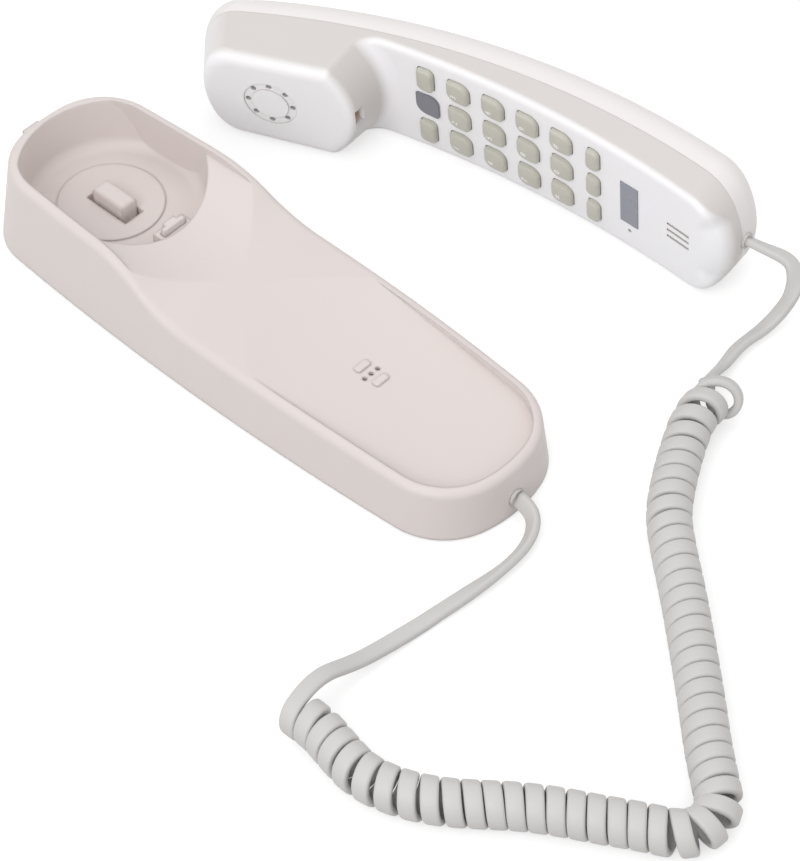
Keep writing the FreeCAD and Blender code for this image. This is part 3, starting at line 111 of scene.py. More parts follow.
class Recipe:
    """A material's node tree with short calls to add and join nodes."""

    def __init__(self, name):
        self.material = bpy.data.materials.new(name)
        self.material.use_nodes = True
        self.tree = self.material.node_tree
        self.shader = self.tree.nodes["Principled BSDF"]
        self.place = self.add("ShaderNodeTexCoord").outputs["Object"]

    def add(self, kind, **values):
        """A new node with these settings."""
        node = self.tree.nodes.new(kind)
        for key, value in values.items():
            setattr(node, key, value)
        return node

    def join(self, output, target):
        """Links an output to an input."""
        self.tree.links.new(output, target)

    def noise(self, scale, detail=3.0, stretch=None):
        """A noise over the piece, which may be stretched along its axes."""
        node = self.add("ShaderNodeTexNoise")
        node.inputs["Scale"].default_value = scale
        node.inputs["Detail"].default_value = detail
        place = self.place
        if stretch:
            mapping = self.add("ShaderNodeMapping")
            mapping.inputs["Scale"].default_value = stretch
            self.join(place, mapping.inputs["Vector"])
            place = mapping.outputs["Vector"]
        self.join(place, node.inputs["Vector"])
        return node.outputs["Fac"]

    def ramp(self, factor, low, high, start=0.3, end=0.7):
        """A colour or grey that runs from low to high as the factor goes from start to end."""
        node = self.add("ShaderNodeValToRGB")
        node.color_ramp.elements[0].position = start
        node.color_ramp.elements[1].position = end
        node.color_ramp.elements[0].color = low if not isinstance(low, float) else (low, low, low, 1)
        node.color_ramp.elements[1].color = high if not isinstance(high, float) else (high, high, high, 1)
        self.join(factor, node.inputs["Fac"])
        return node.outputs["Color"]

    def bump(self, height, strength, distance, below=None):
        """A normal with fine relief, on top of the normal below if there is one."""
        node = self.add("ShaderNodeBump")
        node.inputs["Strength"].default_value = strength
        node.inputs["Distance"].default_value = distance
        self.join(height, node.inputs["Height"])
        if below is not None:
            self.join(below, node.inputs["Normal"])
        return node.outputs["Normal"]

    def soft_edges(self, radius):
        """A normal that rounds edges in the light."""
        node = self.add("ShaderNodeBevel", samples=BEVEL_SAMPLES)
        node.inputs["Radius"].default_value = radius
        return node.outputs["Normal"]


def moulded(name, colour, rough, grain=2200, grain_depth=0.000012, edge=0.0004, tone=0.985, painted_side_shade=None):
    """Moulded plastic: a faint tone drift, a fine grain and softly lit edges.

    The side tone, where given, is painted shade: surfaces that don't face the way the keypad does take it,
    and those that do keep the brighter colour as painted light.
    """
    r = Recipe(name)
    drift = r.noise(DRIFT_SCALE)
    base = r.ramp(drift, shade(colour, tone), colour, *DRIFT_SPAN)
    # Painted light and shade: the colour runs from the darker side tone to the brighter keypad tone by how
    # far a surface faces the keypad's way
    if painted_side_shade:
        turn = r.add("ShaderNodeVectorMath", operation="DOT_PRODUCT")
        r.join(r.add("ShaderNodeNewGeometry").outputs["Normal"], turn.inputs[0])
        turn.inputs[1].default_value = KEYPAD_OUTWARD
        painted_light_share = r.ramp(turn.outputs["Value"], 0.0, 1.0, *PAINTED_SHADE_SPAN)
        blend = r.add("ShaderNodeMix", data_type="RGBA")
        r.join(painted_light_share, blend.inputs["Factor"])
        r.join(r.ramp(drift, shade(painted_side_shade, tone), painted_side_shade, *DRIFT_SPAN), blend.inputs["A"])
        r.join(base, blend.inputs["B"])
        base = blend.outputs["Result"]
    r.join(base, r.shader.inputs["Base Color"])
    polish = r.ramp(r.noise(POLISH_SCALE), rough - POLISH_SPREAD, rough + POLISH_SPREAD)
    r.join(polish, r.shader.inputs["Roughness"])
    r.shader.inputs["Specular IOR Level"].default_value = PLASTIC_SHINE
    below = r.soft_edges(edge) if edge else None
    grains = r.noise(grain, detail=2)
    r.join(r.bump(grains, GRAIN_STRENGTH, grain_depth, below), r.shader.inputs["Normal"])
    return r.material


def metal(name, colour, rough):
    """Bare metal with fine drawn lines."""
    r = Recipe(name)
    lines = r.noise(BRUSH_SCALE, detail=4, stretch=BRUSH_STRETCH)
    r.join(r.ramp(lines, shade(colour, BRUSH_SHADE), colour), r.shader.inputs["Base Color"])
    r.join(r.ramp(lines, rough, rough + BRUSH_ROUGHER), r.shader.inputs["Roughness"])
    r.shader.inputs["Metallic"].default_value = 1.0
    r.join(r.bump(lines, BRUSH_STRENGTH, BRUSH_DEPTH), r.shader.inputs["Normal"])
    return r.material


def rubber(name, colour, rough=0.75):
    """Matt rubber with a cloudy tone and a fine tooth."""
    r = Recipe(name)
    clouds = r.noise(CLOUD_SCALE, detail=4)
    r.join(r.ramp(clouds, shade(colour, CLOUD_SHADE), colour), r.shader.inputs["Base Color"])
    polish = r.ramp(r.noise(RUBBER_POLISH_SCALE), rough - RUBBER_POLISH_SPREAD, rough + RUBBER_POLISH_SPREAD)
    r.join(polish, r.shader.inputs["Roughness"])
    r.join(r.bump(r.noise(TOOTH_SCALE), TOOTH_STRENGTH, TOOTH_DEPTH), r.shader.inputs["Normal"])
    return r.material


# Lit and shaded copies of one white: the keypad face's brighter tone is painted light, and the sides' darker
# tone is painted shade
FACE_PAINTED_LIGHT = srgb(246, 245, 247)
SIDE_PAINTED_SHADE = srgb(208, 203, 201)
SHELL = moulded("shell_white", srgb(215, 206, 203), 0.42, edge=0.0013)
BACK = moulded("back_white", srgb(229, 225, 224), 0.4)
FACE = moulded("face_white", FACE_PAINTED_LIGHT, 0.4, painted_side_shade=SIDE_PAINTED_SHADE)
COVER = moulded("cover_white", FACE_PAINTED_LIGHT, 0.4, edge=0, painted_side_shade=SIDE_PAINTED_SHADE)
# The pocket's warm beige, darker than the face's white, is painted shade for the inside of the catch hole
POCKET_PAINTED_SHADE = moulded("pocket_painted_shade", srgb(226, 203, 184), 0.5, edge=0)
PLATE = moulded("plate_white", srgb(226, 222, 219), 0.55, grain=1500, grain_depth=0.00003)
KEY = moulded("key_grey", srgb(193, 191, 180), 0.4, grain=3200, edge=0, tone=0.95)
MARK = moulded("key_mark", srgb(250, 250, 248), 0.5, edge=0)
LENS = moulded("lens_grey", srgb(122, 123, 131), 0.22, grain_depth=0.000004, tone=0.95)
BADGE = moulded("badge_grey", srgb(143, 145, 155), 0.3, grain_depth=0.000004, tone=0.95)
CORD = moulded("cord_grey", srgb(199, 197, 195), 0.48, grain=1600, edge=0, tone=0.97)
RUBBER = rubber("rubber_dark", srgb(62, 61, 60))
MAT = rubber("rubber_mat", srgb(178, 178, 176), 0.65)
STEEL = metal("steel", srgb(190, 190, 188), 0.3)
IRON = metal("iron", srgb(110, 108, 106), 0.55)
BOARD = moulded("board_green", srgb(34, 98, 56), 0.4, edge=0)
DARK = moulded("dark_plastic", srgb(46, 46, 48), 0.5)
LED = moulded("led_clear", srgb(215, 90, 84), 0.15, edge=0)
SLOTS = {"shell_white": SHELL, "face_white": FACE, "plate_white": PLATE, "key_grey": KEY, "lens_grey": LENS,
         "cord_grey": CORD, "rubber_dark": RUBBER, "rubber_mat": MAT, "steel": STEEL, "iron": IRON,
         "board_green": BOARD, "dark_plastic": DARK, "led_clear": LED}


def dress_nodes():
    """Gives each solid the finish of its slot, and two of them their own."""
    for row in frame["record"]["subparts"]:
        piece = nodes[row["node"]]
        piece.data.materials.clear()
        piece.data.materials.append(SLOTS[row["material_slot"]])
    for name, material in (("handset_back_shell", BACK), ("badge_plate", BADGE)):
        nodes[name].data.materials.clear()
        nodes[name].data.materials.append(material)


dress_nodes()


# Cord: one flat ribbon from the cradle, through the curls, to the handset
# Its route points are in mm, and the curls lie on the floor where their axis has no height of its own

BASE_LEAD = [(0, -97.6, 6.2), (0, -101.5, 5.6), (-1.6, -105.2, 4.0), (-6.4, -108.0, 2.6),
             (-13.9, -109.4, 2.2), (-22.4, -109.3, 1.8), (-31.7, -108.1, 1.5), (-41.2, -106.7, 1.4),
             (-51.8, -105.3, 1.5), (-62.8, -104.2, 2.9), (-73.2, -103.7, 5.6)]
COIL_AXIS = [(-96.6, -104.6), (-96.2, -112.2), (-98.4, -121.6), (-100.0, -131.2), (-97.6, -141.8),
             (-92.3, -151.9), (-86.0, -159.9), (-79.8, -167.3), (-73.8, -176.0), (-67.9, -186.5),
             (-62.6, -195.2), (-57.7, -204.6), (-53.2, -207.6), (-47.8, -208.1), (-42.8, -206.1),
             (-37.2, -199.4), (-30.0, -191.2), (-20.6, -181.5), (-9.2, -169.2), (4.0, -154.7),
             (14.3, -142.6), (23.5, -132.6), (35.5, -125.0), (46.1, -119.3), (55.2, -115.4, 8.2),
             (62.4, -114.9, 9.2), (67.8, -116.3, 8.4), (70.6, -117.2, 7.0)]
HANDSET_LEAD = [(72.6, -107.4, 5.6), (77.4, -106.0, 3.2), (82.9, -105.2, 1.95), (89.8, -103.9, 1.95),
                (96.2, -104.2, 1.95), (102.2, -104.9, 2.6), (107.0, -106.0, 6.0), (110.2, -107.1, 11.0),
                (112.6, -106.2, 16.5), (114.0, -102.6, 20.0)]
HANDSET_EXIT = Vector((110.6, -89.2, 21.1)) * MM
HANDSET_AWAY = Vector((0.1461, -0.9893, 0))
# Turns of the ribbon about its own line, in degrees, by the share of the lead's length
BASE_TWIST = [(0.0, 58), (0.2, 50), (0.45, 12), (0.6, 0), (1.0, 0)]
HANDSET_TWIST = [(0.0, 0), (0.14, -56), (0.4, -38), (0.65, -8), (0.8, 10), (1.0, 36)]
LINE_STEPS = 12
LINE_ORDER = 3
LEAD_STEP = 1.2 * MM
HEADING_REACH = 1.5 * MM
BEND_REACH = 4 * MM
RIBBON_WIDTH = 5.0 * MM
RIBBON_THICK = 2.5 * MM
RIBBON_CORNER = 0.95 * MM
RIBBON_CORNER_STEPS = 3
QUARTERS = ((1, 1), (-1, 1), (-1, -1), (1, -1))
COIL_OUTER = 13.0 * MM
COIL_PITCH = 5.35 * MM
COIL_GAP = 0.25 * MM
COIL_STEPS = 32
COIL_TIGHT = 0.12
COIL_APPROACH = 9 * MM
TIP_TURNS = 2.6
TIP_PITCH = math.radians(40)
TIP_YAW = math.radians(34)
TIP_END_STEPS = 6
EXIT_RUN = 5 * MM


def read_line(name, points):
    """The points of the NURBS line that has these control points."""
    data = bpy.data.curves.new(name, "CURVE")
    data.dimensions = "3D"
    data.resolution_u = LINE_STEPS
    spline = data.splines.new("NURBS")
    spline.points.add(len(points) - 1)
    for spot, point in zip(spline.points, points):
        spot.co = (*point, 1.0)
    spline.order_u = LINE_ORDER
    spline.use_endpoint_u = True
    holder = bpy.data.objects.new(name, data)
    scene.collection.objects.link(holder)
    mesh = bpy.data.meshes.new_from_object(holder)
    line = [v.co.copy() for v in mesh.vertices]
    bpy.data.meshes.remove(mesh)
    bpy.data.objects.remove(holder)
    bpy.data.curves.remove(data)
    return line


class Track:
    """A line read by the distance along it."""

    def __init__(self, line):
        self.line = line
        self.marks = [0.0]
        for a, b in zip(line, line[1:]):
            self.marks.append(self.marks[-1] + (b - a).length)
        self.length = self.marks[-1]

    def at(self, distance):
        """The point at a distance along the line."""
        distance = min(max(distance, 0.0), self.length)
        low = 0
        high = len(self.marks) - 1
        while high - low > 1:
            middle = (low + high) // 2
            if self.marks[middle] <= distance:
                low = middle
            else:
                high = middle
        share = (distance - self.marks[low]) / (self.marks[high] - self.marks[low])
        return self.line[low].lerp(self.line[high], share)

    def heading(self, distance):
        """The direction that the line takes at a distance along it."""
        ahead = self.at(distance + HEADING_REACH)
        behind = self.at(distance - HEADING_REACH)
        return (ahead - behind).normalized()

    def bend(self, distance):
        """How sharply the line turns at a distance along it, in radians a metre."""
        before = self.heading(distance - BEND_REACH)
        return before.angle(self.heading(distance + BEND_REACH), 0.0) / (2 * BEND_REACH)


def eased(table, share):
    """A value read from (share, value) rows, eased between them."""
    for (a, low), (b, high) in zip(table, table[1:]):
        if share <= b:
            t = (share - a) / (b - a)
            return low + (high - low) * t * t * (3 - 2 * t)
    return table[-1][1]


def coil_spots():
    """The curls as (point, outward direction) round the axis; the last ones lean over."""
    radius = (COIL_OUTER - RIBBON_THICK) / 2
    points = [Vector((p[0] * MM, p[1] * MM, p[2] * MM if len(p) > 2 else COIL_OUTER / 2)) for p in COIL_AXIS]
    axis = Track(read_line("coil_axis", points))
    places = [0.0]
    while places[-1] < axis.length:
        room = (RIBBON_WIDTH + COIL_GAP) / (1 - min(radius * axis.bend(places[-1]), COIL_TIGHT))
        places.append(places[-1] + max(COIL_PITCH, room) / COIL_STEPS)
    # An odd number of half turns from the top of the first curl, and a few steps past the bottom
    halves = (len(places) - 2 - TIP_END_STEPS) // (COIL_STEPS // 2)
    halves -= 1 - halves % 2
    last = halves * COIL_STEPS // 2 + TIP_END_STEPS
    tip = Vector((math.cos(TIP_YAW), math.sin(TIP_YAW), 0))
    spots = []
    for step in range(last + 1):
        heading = axis.heading(places[step])
        heading = Vector((heading.x, heading.y, 0)).normalized()
        lean = eased([(0.0, 0.0), (1.0, 1.0)], max(0.0, 1 - (last - step) / (TIP_TURNS * COIL_STEPS)))
        heading = heading.lerp(tip, lean).normalized()
        pitch = TIP_PITCH * lean
        upward = UP * math.cos(pitch) + heading * math.sin(pitch)
        angle = math.pi / 2 + 2 * math.pi * step / COIL_STEPS
        side = Vector((-heading.y, heading.x, 0))
        outward = side * math.cos(angle) + upward * math.sin(angle)
        spots.append((axis.at(places[step]) + outward * radius, outward))
    return spots


def lead_spots(name, points, twist, joins=None):
    """A lead as (point, thickness direction), flat where its twist is nought.

    Where it joins the curls with the direction given, its twist eases from that direction.
    """
    track = Track(read_line(name, points))
    count = int(track.length / LEAD_STEP)
    spots = []
    rows = twist
    for i in range(count + 1):
        share = i / count
        distance = share * track.length
        heading = track.heading(distance)
        aside = heading.cross(UP).normalized()
        flat = aside.cross(heading).normalized()
        if i == 0 and joins is not None:
            first = math.degrees(math.atan2(joins.dot(aside), joins.dot(flat)))
            whole = 180 * round(first / 180)
            rows = [(0.0, first)] + [(at, value + whole) for at, value in twist[1:]]
        angle = math.radians(eased(rows, share))
        spots.append((track.at(distance), flat * math.cos(angle) + aside * math.sin(angle)))
    return spots


def heading_at(spots, i):
    """The direction that a line of spots takes at one of them."""
    ahead = spots[min(i + 1, len(spots) - 1)][0]
    behind = spots[max(i - 1, 0)][0]
    return (ahead - behind).normalized()


def grounded(spots):
    """The same spots, lifted where the ribbon would sink into the floor."""
    lifted = []
    for i, (point, thick) in enumerate(spots):
        across = heading_at(spots, i).cross(thick).normalized()
        stand = abs(thick.z) * RIBBON_THICK / 2 + abs(across.z) * (RIBBON_WIDTH - RIBBON_CORNER) / 2
        lifted.append((Vector((point.x, point.y, max(point.z, stand))), thick))
    return lifted


def ribbon_profile():
    """The ribbon's rounded section as (across, through) pairs, in order."""
    half_wide = RIBBON_WIDTH / 2 - RIBBON_CORNER
    half_thick = RIBBON_THICK / 2 - RIBBON_CORNER
    ring = []
    for quarter, (wide, thick) in enumerate(QUARTERS):
        for step in range(RIBBON_CORNER_STEPS + 1):
            angle = (quarter + step / RIBBON_CORNER_STEPS) * math.pi / 2
            ring.append((wide * half_wide + RIBBON_CORNER * math.cos(angle),
                         thick * half_thick + RIBBON_CORNER * math.sin(angle)))
    return ring


def sweep(name, spots, profile):
    """A closed tube of the profile along the spots, with flat ends."""
    mesh = bpy.data.meshes.new(name)
    form = bmesh.new()
    rings = []
    for i, (point, thick) in enumerate(spots):
        heading = heading_at(spots, i)
        across = heading.cross(thick).normalized()
        through = across.cross(heading).normalized()
        rings.append([form.verts.new(point + across * a + through * t) for a, t in profile])
    size = len(profile)
    for one, two in zip(rings, rings[1:]):
        for k in range(size):
            form.faces.new((one[k], one[(k + 1) % size], two[(k + 1) % size], two[k])).smooth = True
    form.faces.new(reversed(rings[0]))
    form.faces.new(rings[-1])
    bmesh.ops.recalc_face_normals(form, faces=form.faces)
    form.to_mesh(mesh)
    form.free()
    piece = bpy.data.objects.new(name, mesh)
    scene.collection.objects.link(piece)
    return piece


def build_cord():
    """The whole cord as one piece that runs from the cradle, through the curls, to the handset."""
    coil = coil_spots()
    start = coil[0][0]
    into = (coil[1][0] - start).normalized()
    end = coil[-1][0]
    out = (end - coil[-2][0]).normalized()
    toward = [Vector(p) * MM for p in BASE_LEAD] + [start - into * COIL_APPROACH, start]
    base = lead_spots("base_lead", toward, BASE_TWIST)
    away = [end, end + out * EXIT_RUN] + [Vector(p) * MM for p in HANDSET_LEAD]
    handset = lead_spots("handset_lead", away + [HANDSET_EXIT + HANDSET_AWAY * EXIT_RUN, HANDSET_EXIT],
                         HANDSET_TWIST, coil[-1][1])
    spots = grounded(base[:-1] + coil + handset[1:])
    cord = sweep("curly_cord", spots, ribbon_profile())
    cord.data.materials.append(CORD)
    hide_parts("coil_cord", "cord_base_lead", "cord_handset_lead")
    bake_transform(cord)
    path = [point for point, _ in spots]
    length = Track(path).length
    print("cord centreline %.3f m, %.1f turns" % (length, (len(coil) - 1) / COIL_STEPS))


build_cord()


# Keys: crowned caps with their numbers, in the handset's own frame and in mm

FACE_RADIUS = 364
FACE_LOW_Y = -3
COLUMN_PITCH = 11.56
ROW_PITCH = 12.36
UPPER_ROW_Y = 23.8
LOWER_ROW_Y = -36.5
# Each kind of key as its length, its width and the radius of its leaf corners
DIAL_KEY = (7.4, 7.7, 3.4)
UPPER_KEY = (5.4, 8.6, 2.0)
LOWER_KEY = (4.3, 7.8, 2.0)
KEY_CORNER = 1.0
KEY_TOP = 2.35
KEY_CROWN = 0.75
KEY_SHOULDER = 0.6
KEY_FLANGE = 0.5
KEY_FLANGE_TOP = -2.45
KEY_FLANGE_LOW = -3.25
KEY_STEM = 2.0
STEM_LOW = -3.5
CORNER_STEPS = 8
CROWN_RINGS = (1.0, 0.985, 0.955, 0.91, 0.85, 0.76, 0.64, 0.5, 0.34, 0.17)
SHOULDER_START = 0.84
MARK_TALL = 2.1
MARK_X = -0.8
MARK_Y = 0.8
MARK_PROUD = 0.06
MARK_SUNK = 0.12
MARK_CUTS = 2
MARK_STEPS = 6
MARK_RAW_HALF = 0.5
MERGE_GAP = 1e-5
RAY_START = 50
SHARP_ANGLE = math.radians(40)
NUMBERS = (("1", "2", "3"), ("4", "5", "6"), ("7", "8", "9"), ("*", "0", "#"))
SIGN_NAMES = {"*": "star", "#": "hash"}


def face_z(y):
    """Height of the keypad face above the handset's origin, in mm."""
    return FACE_RADIUS - math.sqrt(FACE_RADIUS ** 2 - (y - FACE_LOW_Y) ** 2)


def leaf_outline(length, width, leaf, grow=0.0):
    """A key's outline round its middle: two leaf corners and two tight ones."""
    points = []
    for quarter, (sx, sy) in enumerate(QUARTERS):
        radius = (KEY_CORNER if sx == sy else leaf) + grow
        x = sx * (width / 2 + grow - radius)
        y = sy * (length / 2 + grow - radius)
        for step in range(CORNER_STEPS + 1):
            angle = (quarter + step / CORNER_STEPS) * math.pi / 2
            points.append((x + radius * math.cos(angle), y + radius * math.sin(angle)))
    return points


def crown_drop(share):
    """How far the cap's top has fallen at this share of the way from its middle to its edge, in mm."""
    drop = KEY_CROWN * share ** 2
    if share > SHOULDER_START:
        reach = (share - SHOULDER_START) / (1 - SHOULDER_START)
        drop += KEY_SHOULDER * (1 - math.sqrt(max(0.0, 1 - reach ** 2)))
    return drop


def key_form(x, y, length, width, leaf):
    """A key's mesh in the handset's frame, in mm: stem, flange, wall and crowned top."""
    base = face_z(y)
    edge = leaf_outline(length, width, leaf)
    flange = leaf_outline(length, width, leaf, KEY_FLANGE)
    stem = []
    for px, py in edge:
        reach = math.hypot(px, py)
        stem.append((px / reach * KEY_STEM, py / reach * KEY_STEM))
    levels = [(stem, STEM_LOW - base), (stem, KEY_FLANGE_LOW), (flange, KEY_FLANGE_LOW),
              (flange, KEY_FLANGE_TOP), (edge, KEY_FLANGE_TOP)]
    levels += [([(px * t, py * t) for px, py in edge], KEY_TOP - crown_drop(t)) for t in CROWN_RINGS]
    form = bmesh.new()
    rings = [[form.verts.new((x + px, y + py, base + z)) for px, py in ring] for ring, z in levels]
    count = len(edge)
    for one, two in zip(rings, rings[1:]):
        for k in range(count):
            form.faces.new((one[k], one[(k + 1) % count], two[(k + 1) % count], two[k]))
    form.faces.new(reversed(rings[0]))
    middle = form.verts.new((x, y, base + KEY_TOP))
    for k in range(count):
        form.faces.new((rings[-1][k], rings[-1][(k + 1) % count], middle))
    bmesh.ops.recalc_face_normals(form, faces=form.faces)
    return form


def add_piece(name, form, material, body, smooth=True):
    """A mesh from the handset's frame, in mm, as a piece that rides on a body."""
    for vert in form.verts:
        vert.co = HANDSET_POSE @ (vert.co * MM)
    for face in form.faces:
        face.smooth = smooth
    mesh = bpy.data.meshes.new(name)
    form.to_mesh(mesh)
    form.free()
    mesh.materials.append(material)
    piece = bpy.data.objects.new(name, mesh)
    scene.collection.objects.link(piece)
    if smooth:
        mesh.set_sharp_from_angle(angle=SHARP_ANGLE)
    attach(piece, body)
    return piece


def sign_form(sign, x, y, surface):
    """A number or sign as a thin plate let into the cap that the surface tree describes, in mm."""
    data = bpy.data.curves.new("sign", "FONT")
    data.body = sign
    data.extrude = MARK_RAW_HALF
    data.resolution_u = MARK_STEPS
    holder = bpy.data.objects.new("sign", data)
    scene.collection.objects.link(holder)
    mesh = bpy.data.meshes.new_from_object(holder)
    bpy.data.objects.remove(holder)
    bpy.data.curves.remove(data)
    form = bmesh.new()
    form.from_mesh(mesh)
    bpy.data.meshes.remove(mesh)
    low = [min(v.co[i] for v in form.verts) for i in range(2)]
    high = [max(v.co[i] for v in form.verts) for i in range(2)]
    scale = MARK_TALL / max(high[1] - low[1], high[0] - low[0])
    bmesh.ops.remove_doubles(form, verts=form.verts, dist=MERGE_GAP)
    bmesh.ops.triangulate(form, faces=form.faces)
    bmesh.ops.subdivide_edges(form, edges=form.edges, cuts=MARK_CUTS)
    for vert in form.verts:
        px = x + (vert.co.x - (low[0] + high[0]) / 2) * scale
        py = y + (vert.co.y - (low[1] + high[1]) / 2) * scale
        hit = surface.ray_cast(Vector((px, py, RAY_START)), -UP)[0]
        vert.co = Vector((px, py, hit.z + (MARK_PROUD if vert.co.z > 0 else -MARK_SUNK)))
    bmesh.ops.recalc_face_normals(form, faces=form.faces)
    return form


def add_key(name, x, y, length, width, leaf, sign=None):
    """A cap in place of a key's solid, with its sign if it has one."""
    form = key_form(x, y, length, width, leaf)
    surface = BVHTree.FromBMesh(form)
    cap = add_piece(name + "_crown", form, KEY, name + "_cap")
    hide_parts(name)
    if sign:
        add_piece(name + "_mark", sign_form(sign, x + MARK_X, y + MARK_Y, surface), MARK, name + "_cap",
                  smooth=False)


def build_keys():
    """Twelve dial keys, two small ones above them and three below."""
    columns = (-COLUMN_PITCH, 0.0, COLUMN_PITCH)
    for row, signs in enumerate(NUMBERS):
        for x, sign in zip(columns, signs):
            add_key("key_" + SIGN_NAMES.get(sign, sign), x, ROW_PITCH * (1 - row), *DIAL_KEY, sign)
    for x, side in zip(columns[::2], ("left", "right")):
        add_key("key_upper_" + side, x, UPPER_ROW_Y, *UPPER_KEY)
    for x, side in zip(columns, ("left", "middle", "right")):
        add_key("key_lower_" + side, x, LOWER_ROW_Y, *LOWER_KEY)


build_keys()


# Handset skin: covers over small openings in the shell, and the pocket behind its catch hole, in mm

COVER_PROUD = 0.02
COVER_JUMP = 0.15
COVER_THICK = 0.8
COVER_MISS = 1e3
ROUND_REACH = 60
ROUND_STEP = 2
MOUTH_CORE = (-70.0, -3.0)
MOUTH_HALF = 15
MOUTH_ROWS = 49
MOUTH_FIRST_ANGLE = 12
MOUTH_LINES = 30
ROOT_SPOT = (13.6, 40.9, 5.6)
ROOT_OUTWARD = (0.42, -0.79, 0.42)
ROOT_STEP = 0.35
ROOT_LINES = 6
ROOT_REACH = 20
CATCH_CORE = (48.0, 12.0)
CATCH_ACROSS = 6.5
CATCH_LINES = 27
CATCH_FIRST_ANGLE = 32.5
CATCH_ROWS = 17
CATCH_COVER_THICK = 2.0
CATCH_HALF = 2.8
CATCH_LOW = 14.0
CATCH_SHUT = 17.6
CATCH_FRONT = 40.4
CATCH_BACK = 45.0
CATCH_WALL = 0.6
POCKET_TAPER = 0.3
POCKET_OVER = 0.3


def shell_surface(node):
    """A node's surface in the handset's frame, in mm."""
    mesh = nodes[node].data
    inverse = HANDSET_POSE.inverted()
    spots = [inverse @ v.co / MM for v in mesh.vertices]
    return BVHTree.FromPolygons(spots, [tuple(p.vertices) for p in mesh.polygons])


def mended(depths):
    """Depths along a row of rays, with the stretch between two jumps bridged smoothly."""
    def steady(values):
        """The last place before the first jump."""
        for i in range(2, len(values)):
            bend = values[i] - 2 * values[i - 1] + values[i - 2]
            if abs(bend) > COVER_JUMP:
                return i - 1
        return len(values) - 1
    first = steady(depths)
    last = len(depths) - 1 - steady(depths[::-1])
    if first >= last:
        return depths
    span = last - first
    slope_in = depths[first] - depths[first - 1]
    slope_out = depths[last + 1] - depths[last]
    fixed = list(depths)
    for i in range(first + 1, last):
        t = (i - first) / span
        fixed[i] = (depths[first] * (1 + 2 * t) * (1 - t) ** 2 + depths[last] * t ** 2 * (3 - 2 * t)
                    + span * (slope_in * t * (1 - t) ** 2 - slope_out * t ** 2 * (1 - t)))
    return fixed


def plate_form(front, back):
    """A closed plate from two grids of points of the same size."""
    form = bmesh.new()
    tops = [[form.verts.new(p) for p in row] for row in front]
    lows = [[form.verts.new(p) for p in row] for row in back]
    rows = len(tops)
    count = len(tops[0])
    for i in range(rows - 1):
        for k in range(count - 1):
            form.faces.new((tops[i][k], tops[i][k + 1], tops[i + 1][k + 1], tops[i + 1][k]))
            form.faces.new((lows[i][k], lows[i + 1][k], lows[i + 1][k + 1], lows[i][k + 1]))
    for i in range(rows - 1):
        for k, flip in ((0, 1), (count - 1, -1)):
            form.faces.new((tops[i][k], tops[i + 1][k], lows[i + 1][k], lows[i][k])[::flip])
    for k in range(count - 1):
        for i, flip in ((0, -1), (rows - 1, 1)):
            form.faces.new((tops[i][k], tops[i][k + 1], lows[i][k + 1], lows[i][k])[::flip])
    bmesh.ops.recalc_face_normals(form, faces=form.faces)
    return form


def cover_form(surface, rays, thick=COVER_THICK):
    """A plate a hair over the surface that rows of (start, direction) rays meet."""
    front = []
    back = []
    for row in rays:
        depths = []
        for start, toward in row:
            hit = surface.ray_cast(start, toward)[0]
            depths.append((hit - start).length if hit else COVER_MISS)
        depths = mended(depths)
        front.append([start + toward * (d - COVER_PROUD) for (start, toward), d in zip(row, depths)])
        back.append([start + toward * (d + thick) for (start, toward), d in zip(row, depths)])
    return plate_form(front, back)


def round_ray(x, core, angle):
    """A ray at x towards a core line along x, from outside, at an angle over the handset's -y."""
    outward = Vector((0, -math.cos(math.radians(angle)), math.sin(math.radians(angle))))
    return Vector((x, *core)) + outward * ROUND_REACH, -outward


def mouth_rays():
    """Rays on the mouth end's rounded border, in rows from the end wall to the face."""
    step = 2 * MOUTH_HALF / (MOUTH_ROWS - 1)
    return [[round_ray(-MOUTH_HALF + i * step, MOUTH_CORE, MOUTH_FIRST_ANGLE + k * ROUND_STEP)
             for k in range(MOUTH_LINES)] for i in range(MOUTH_ROWS)]


def catch_rays():
    """Rays on the ear's rounded edge above the catch hole, in rows across it."""
    step = 2 * CATCH_ACROSS / (CATCH_LINES - 1)
    return [[round_ray(-CATCH_ACROSS + i * step, CATCH_CORE, CATCH_FIRST_ANGLE + k * ROUND_STEP)
             for i in range(CATCH_LINES)] for k in range(CATCH_ROWS)]


def spot_rays(side):
    """Parallel rays on a small patch of the ear's root, on the side given."""
    spot = Vector((side * ROOT_SPOT[0], *ROOT_SPOT[1:]))
    outward = Vector((side * ROOT_OUTWARD[0], *ROOT_OUTWARD[1:])).normalized()
    along = outward.cross(UP).normalized() * ROOT_STEP
    upward = along.cross(outward)
    far = spot + outward * ROOT_REACH
    lines = range(-ROOT_LINES, ROOT_LINES + 1)
    return [[(far + along * i + upward * k, -outward) for k in lines] for i in lines]


def pocket_form():
    """A five-sided pocket, open towards the keypad."""
    form = bmesh.new()
    loops = []
    for y, grow in ((CATCH_FRONT, 0.0), (CATCH_BACK, -POCKET_TAPER), (CATCH_BACK + CATCH_WALL, CATCH_WALL),
                    (CATCH_FRONT, CATCH_WALL)):
        half = CATCH_HALF + grow
        low = CATCH_LOW - grow
        high = CATCH_SHUT + POCKET_OVER + grow
        loops.append([form.verts.new((sx * half, y, z))
                      for sx, z in ((-1, low), (1, low), (1, high), (-1, high))])
    for one, two in ((0, 1), (2, 3), (3, 0)):
        for k in range(4):
            form.faces.new((loops[one][k], loops[one][(k + 1) % 4], loops[two][(k + 1) % 4], loops[two][k]))
    form.faces.new(loops[1])
    form.faces.new(loops[2])
    bmesh.ops.recalc_face_normals(form, faces=form.faces)
    return form


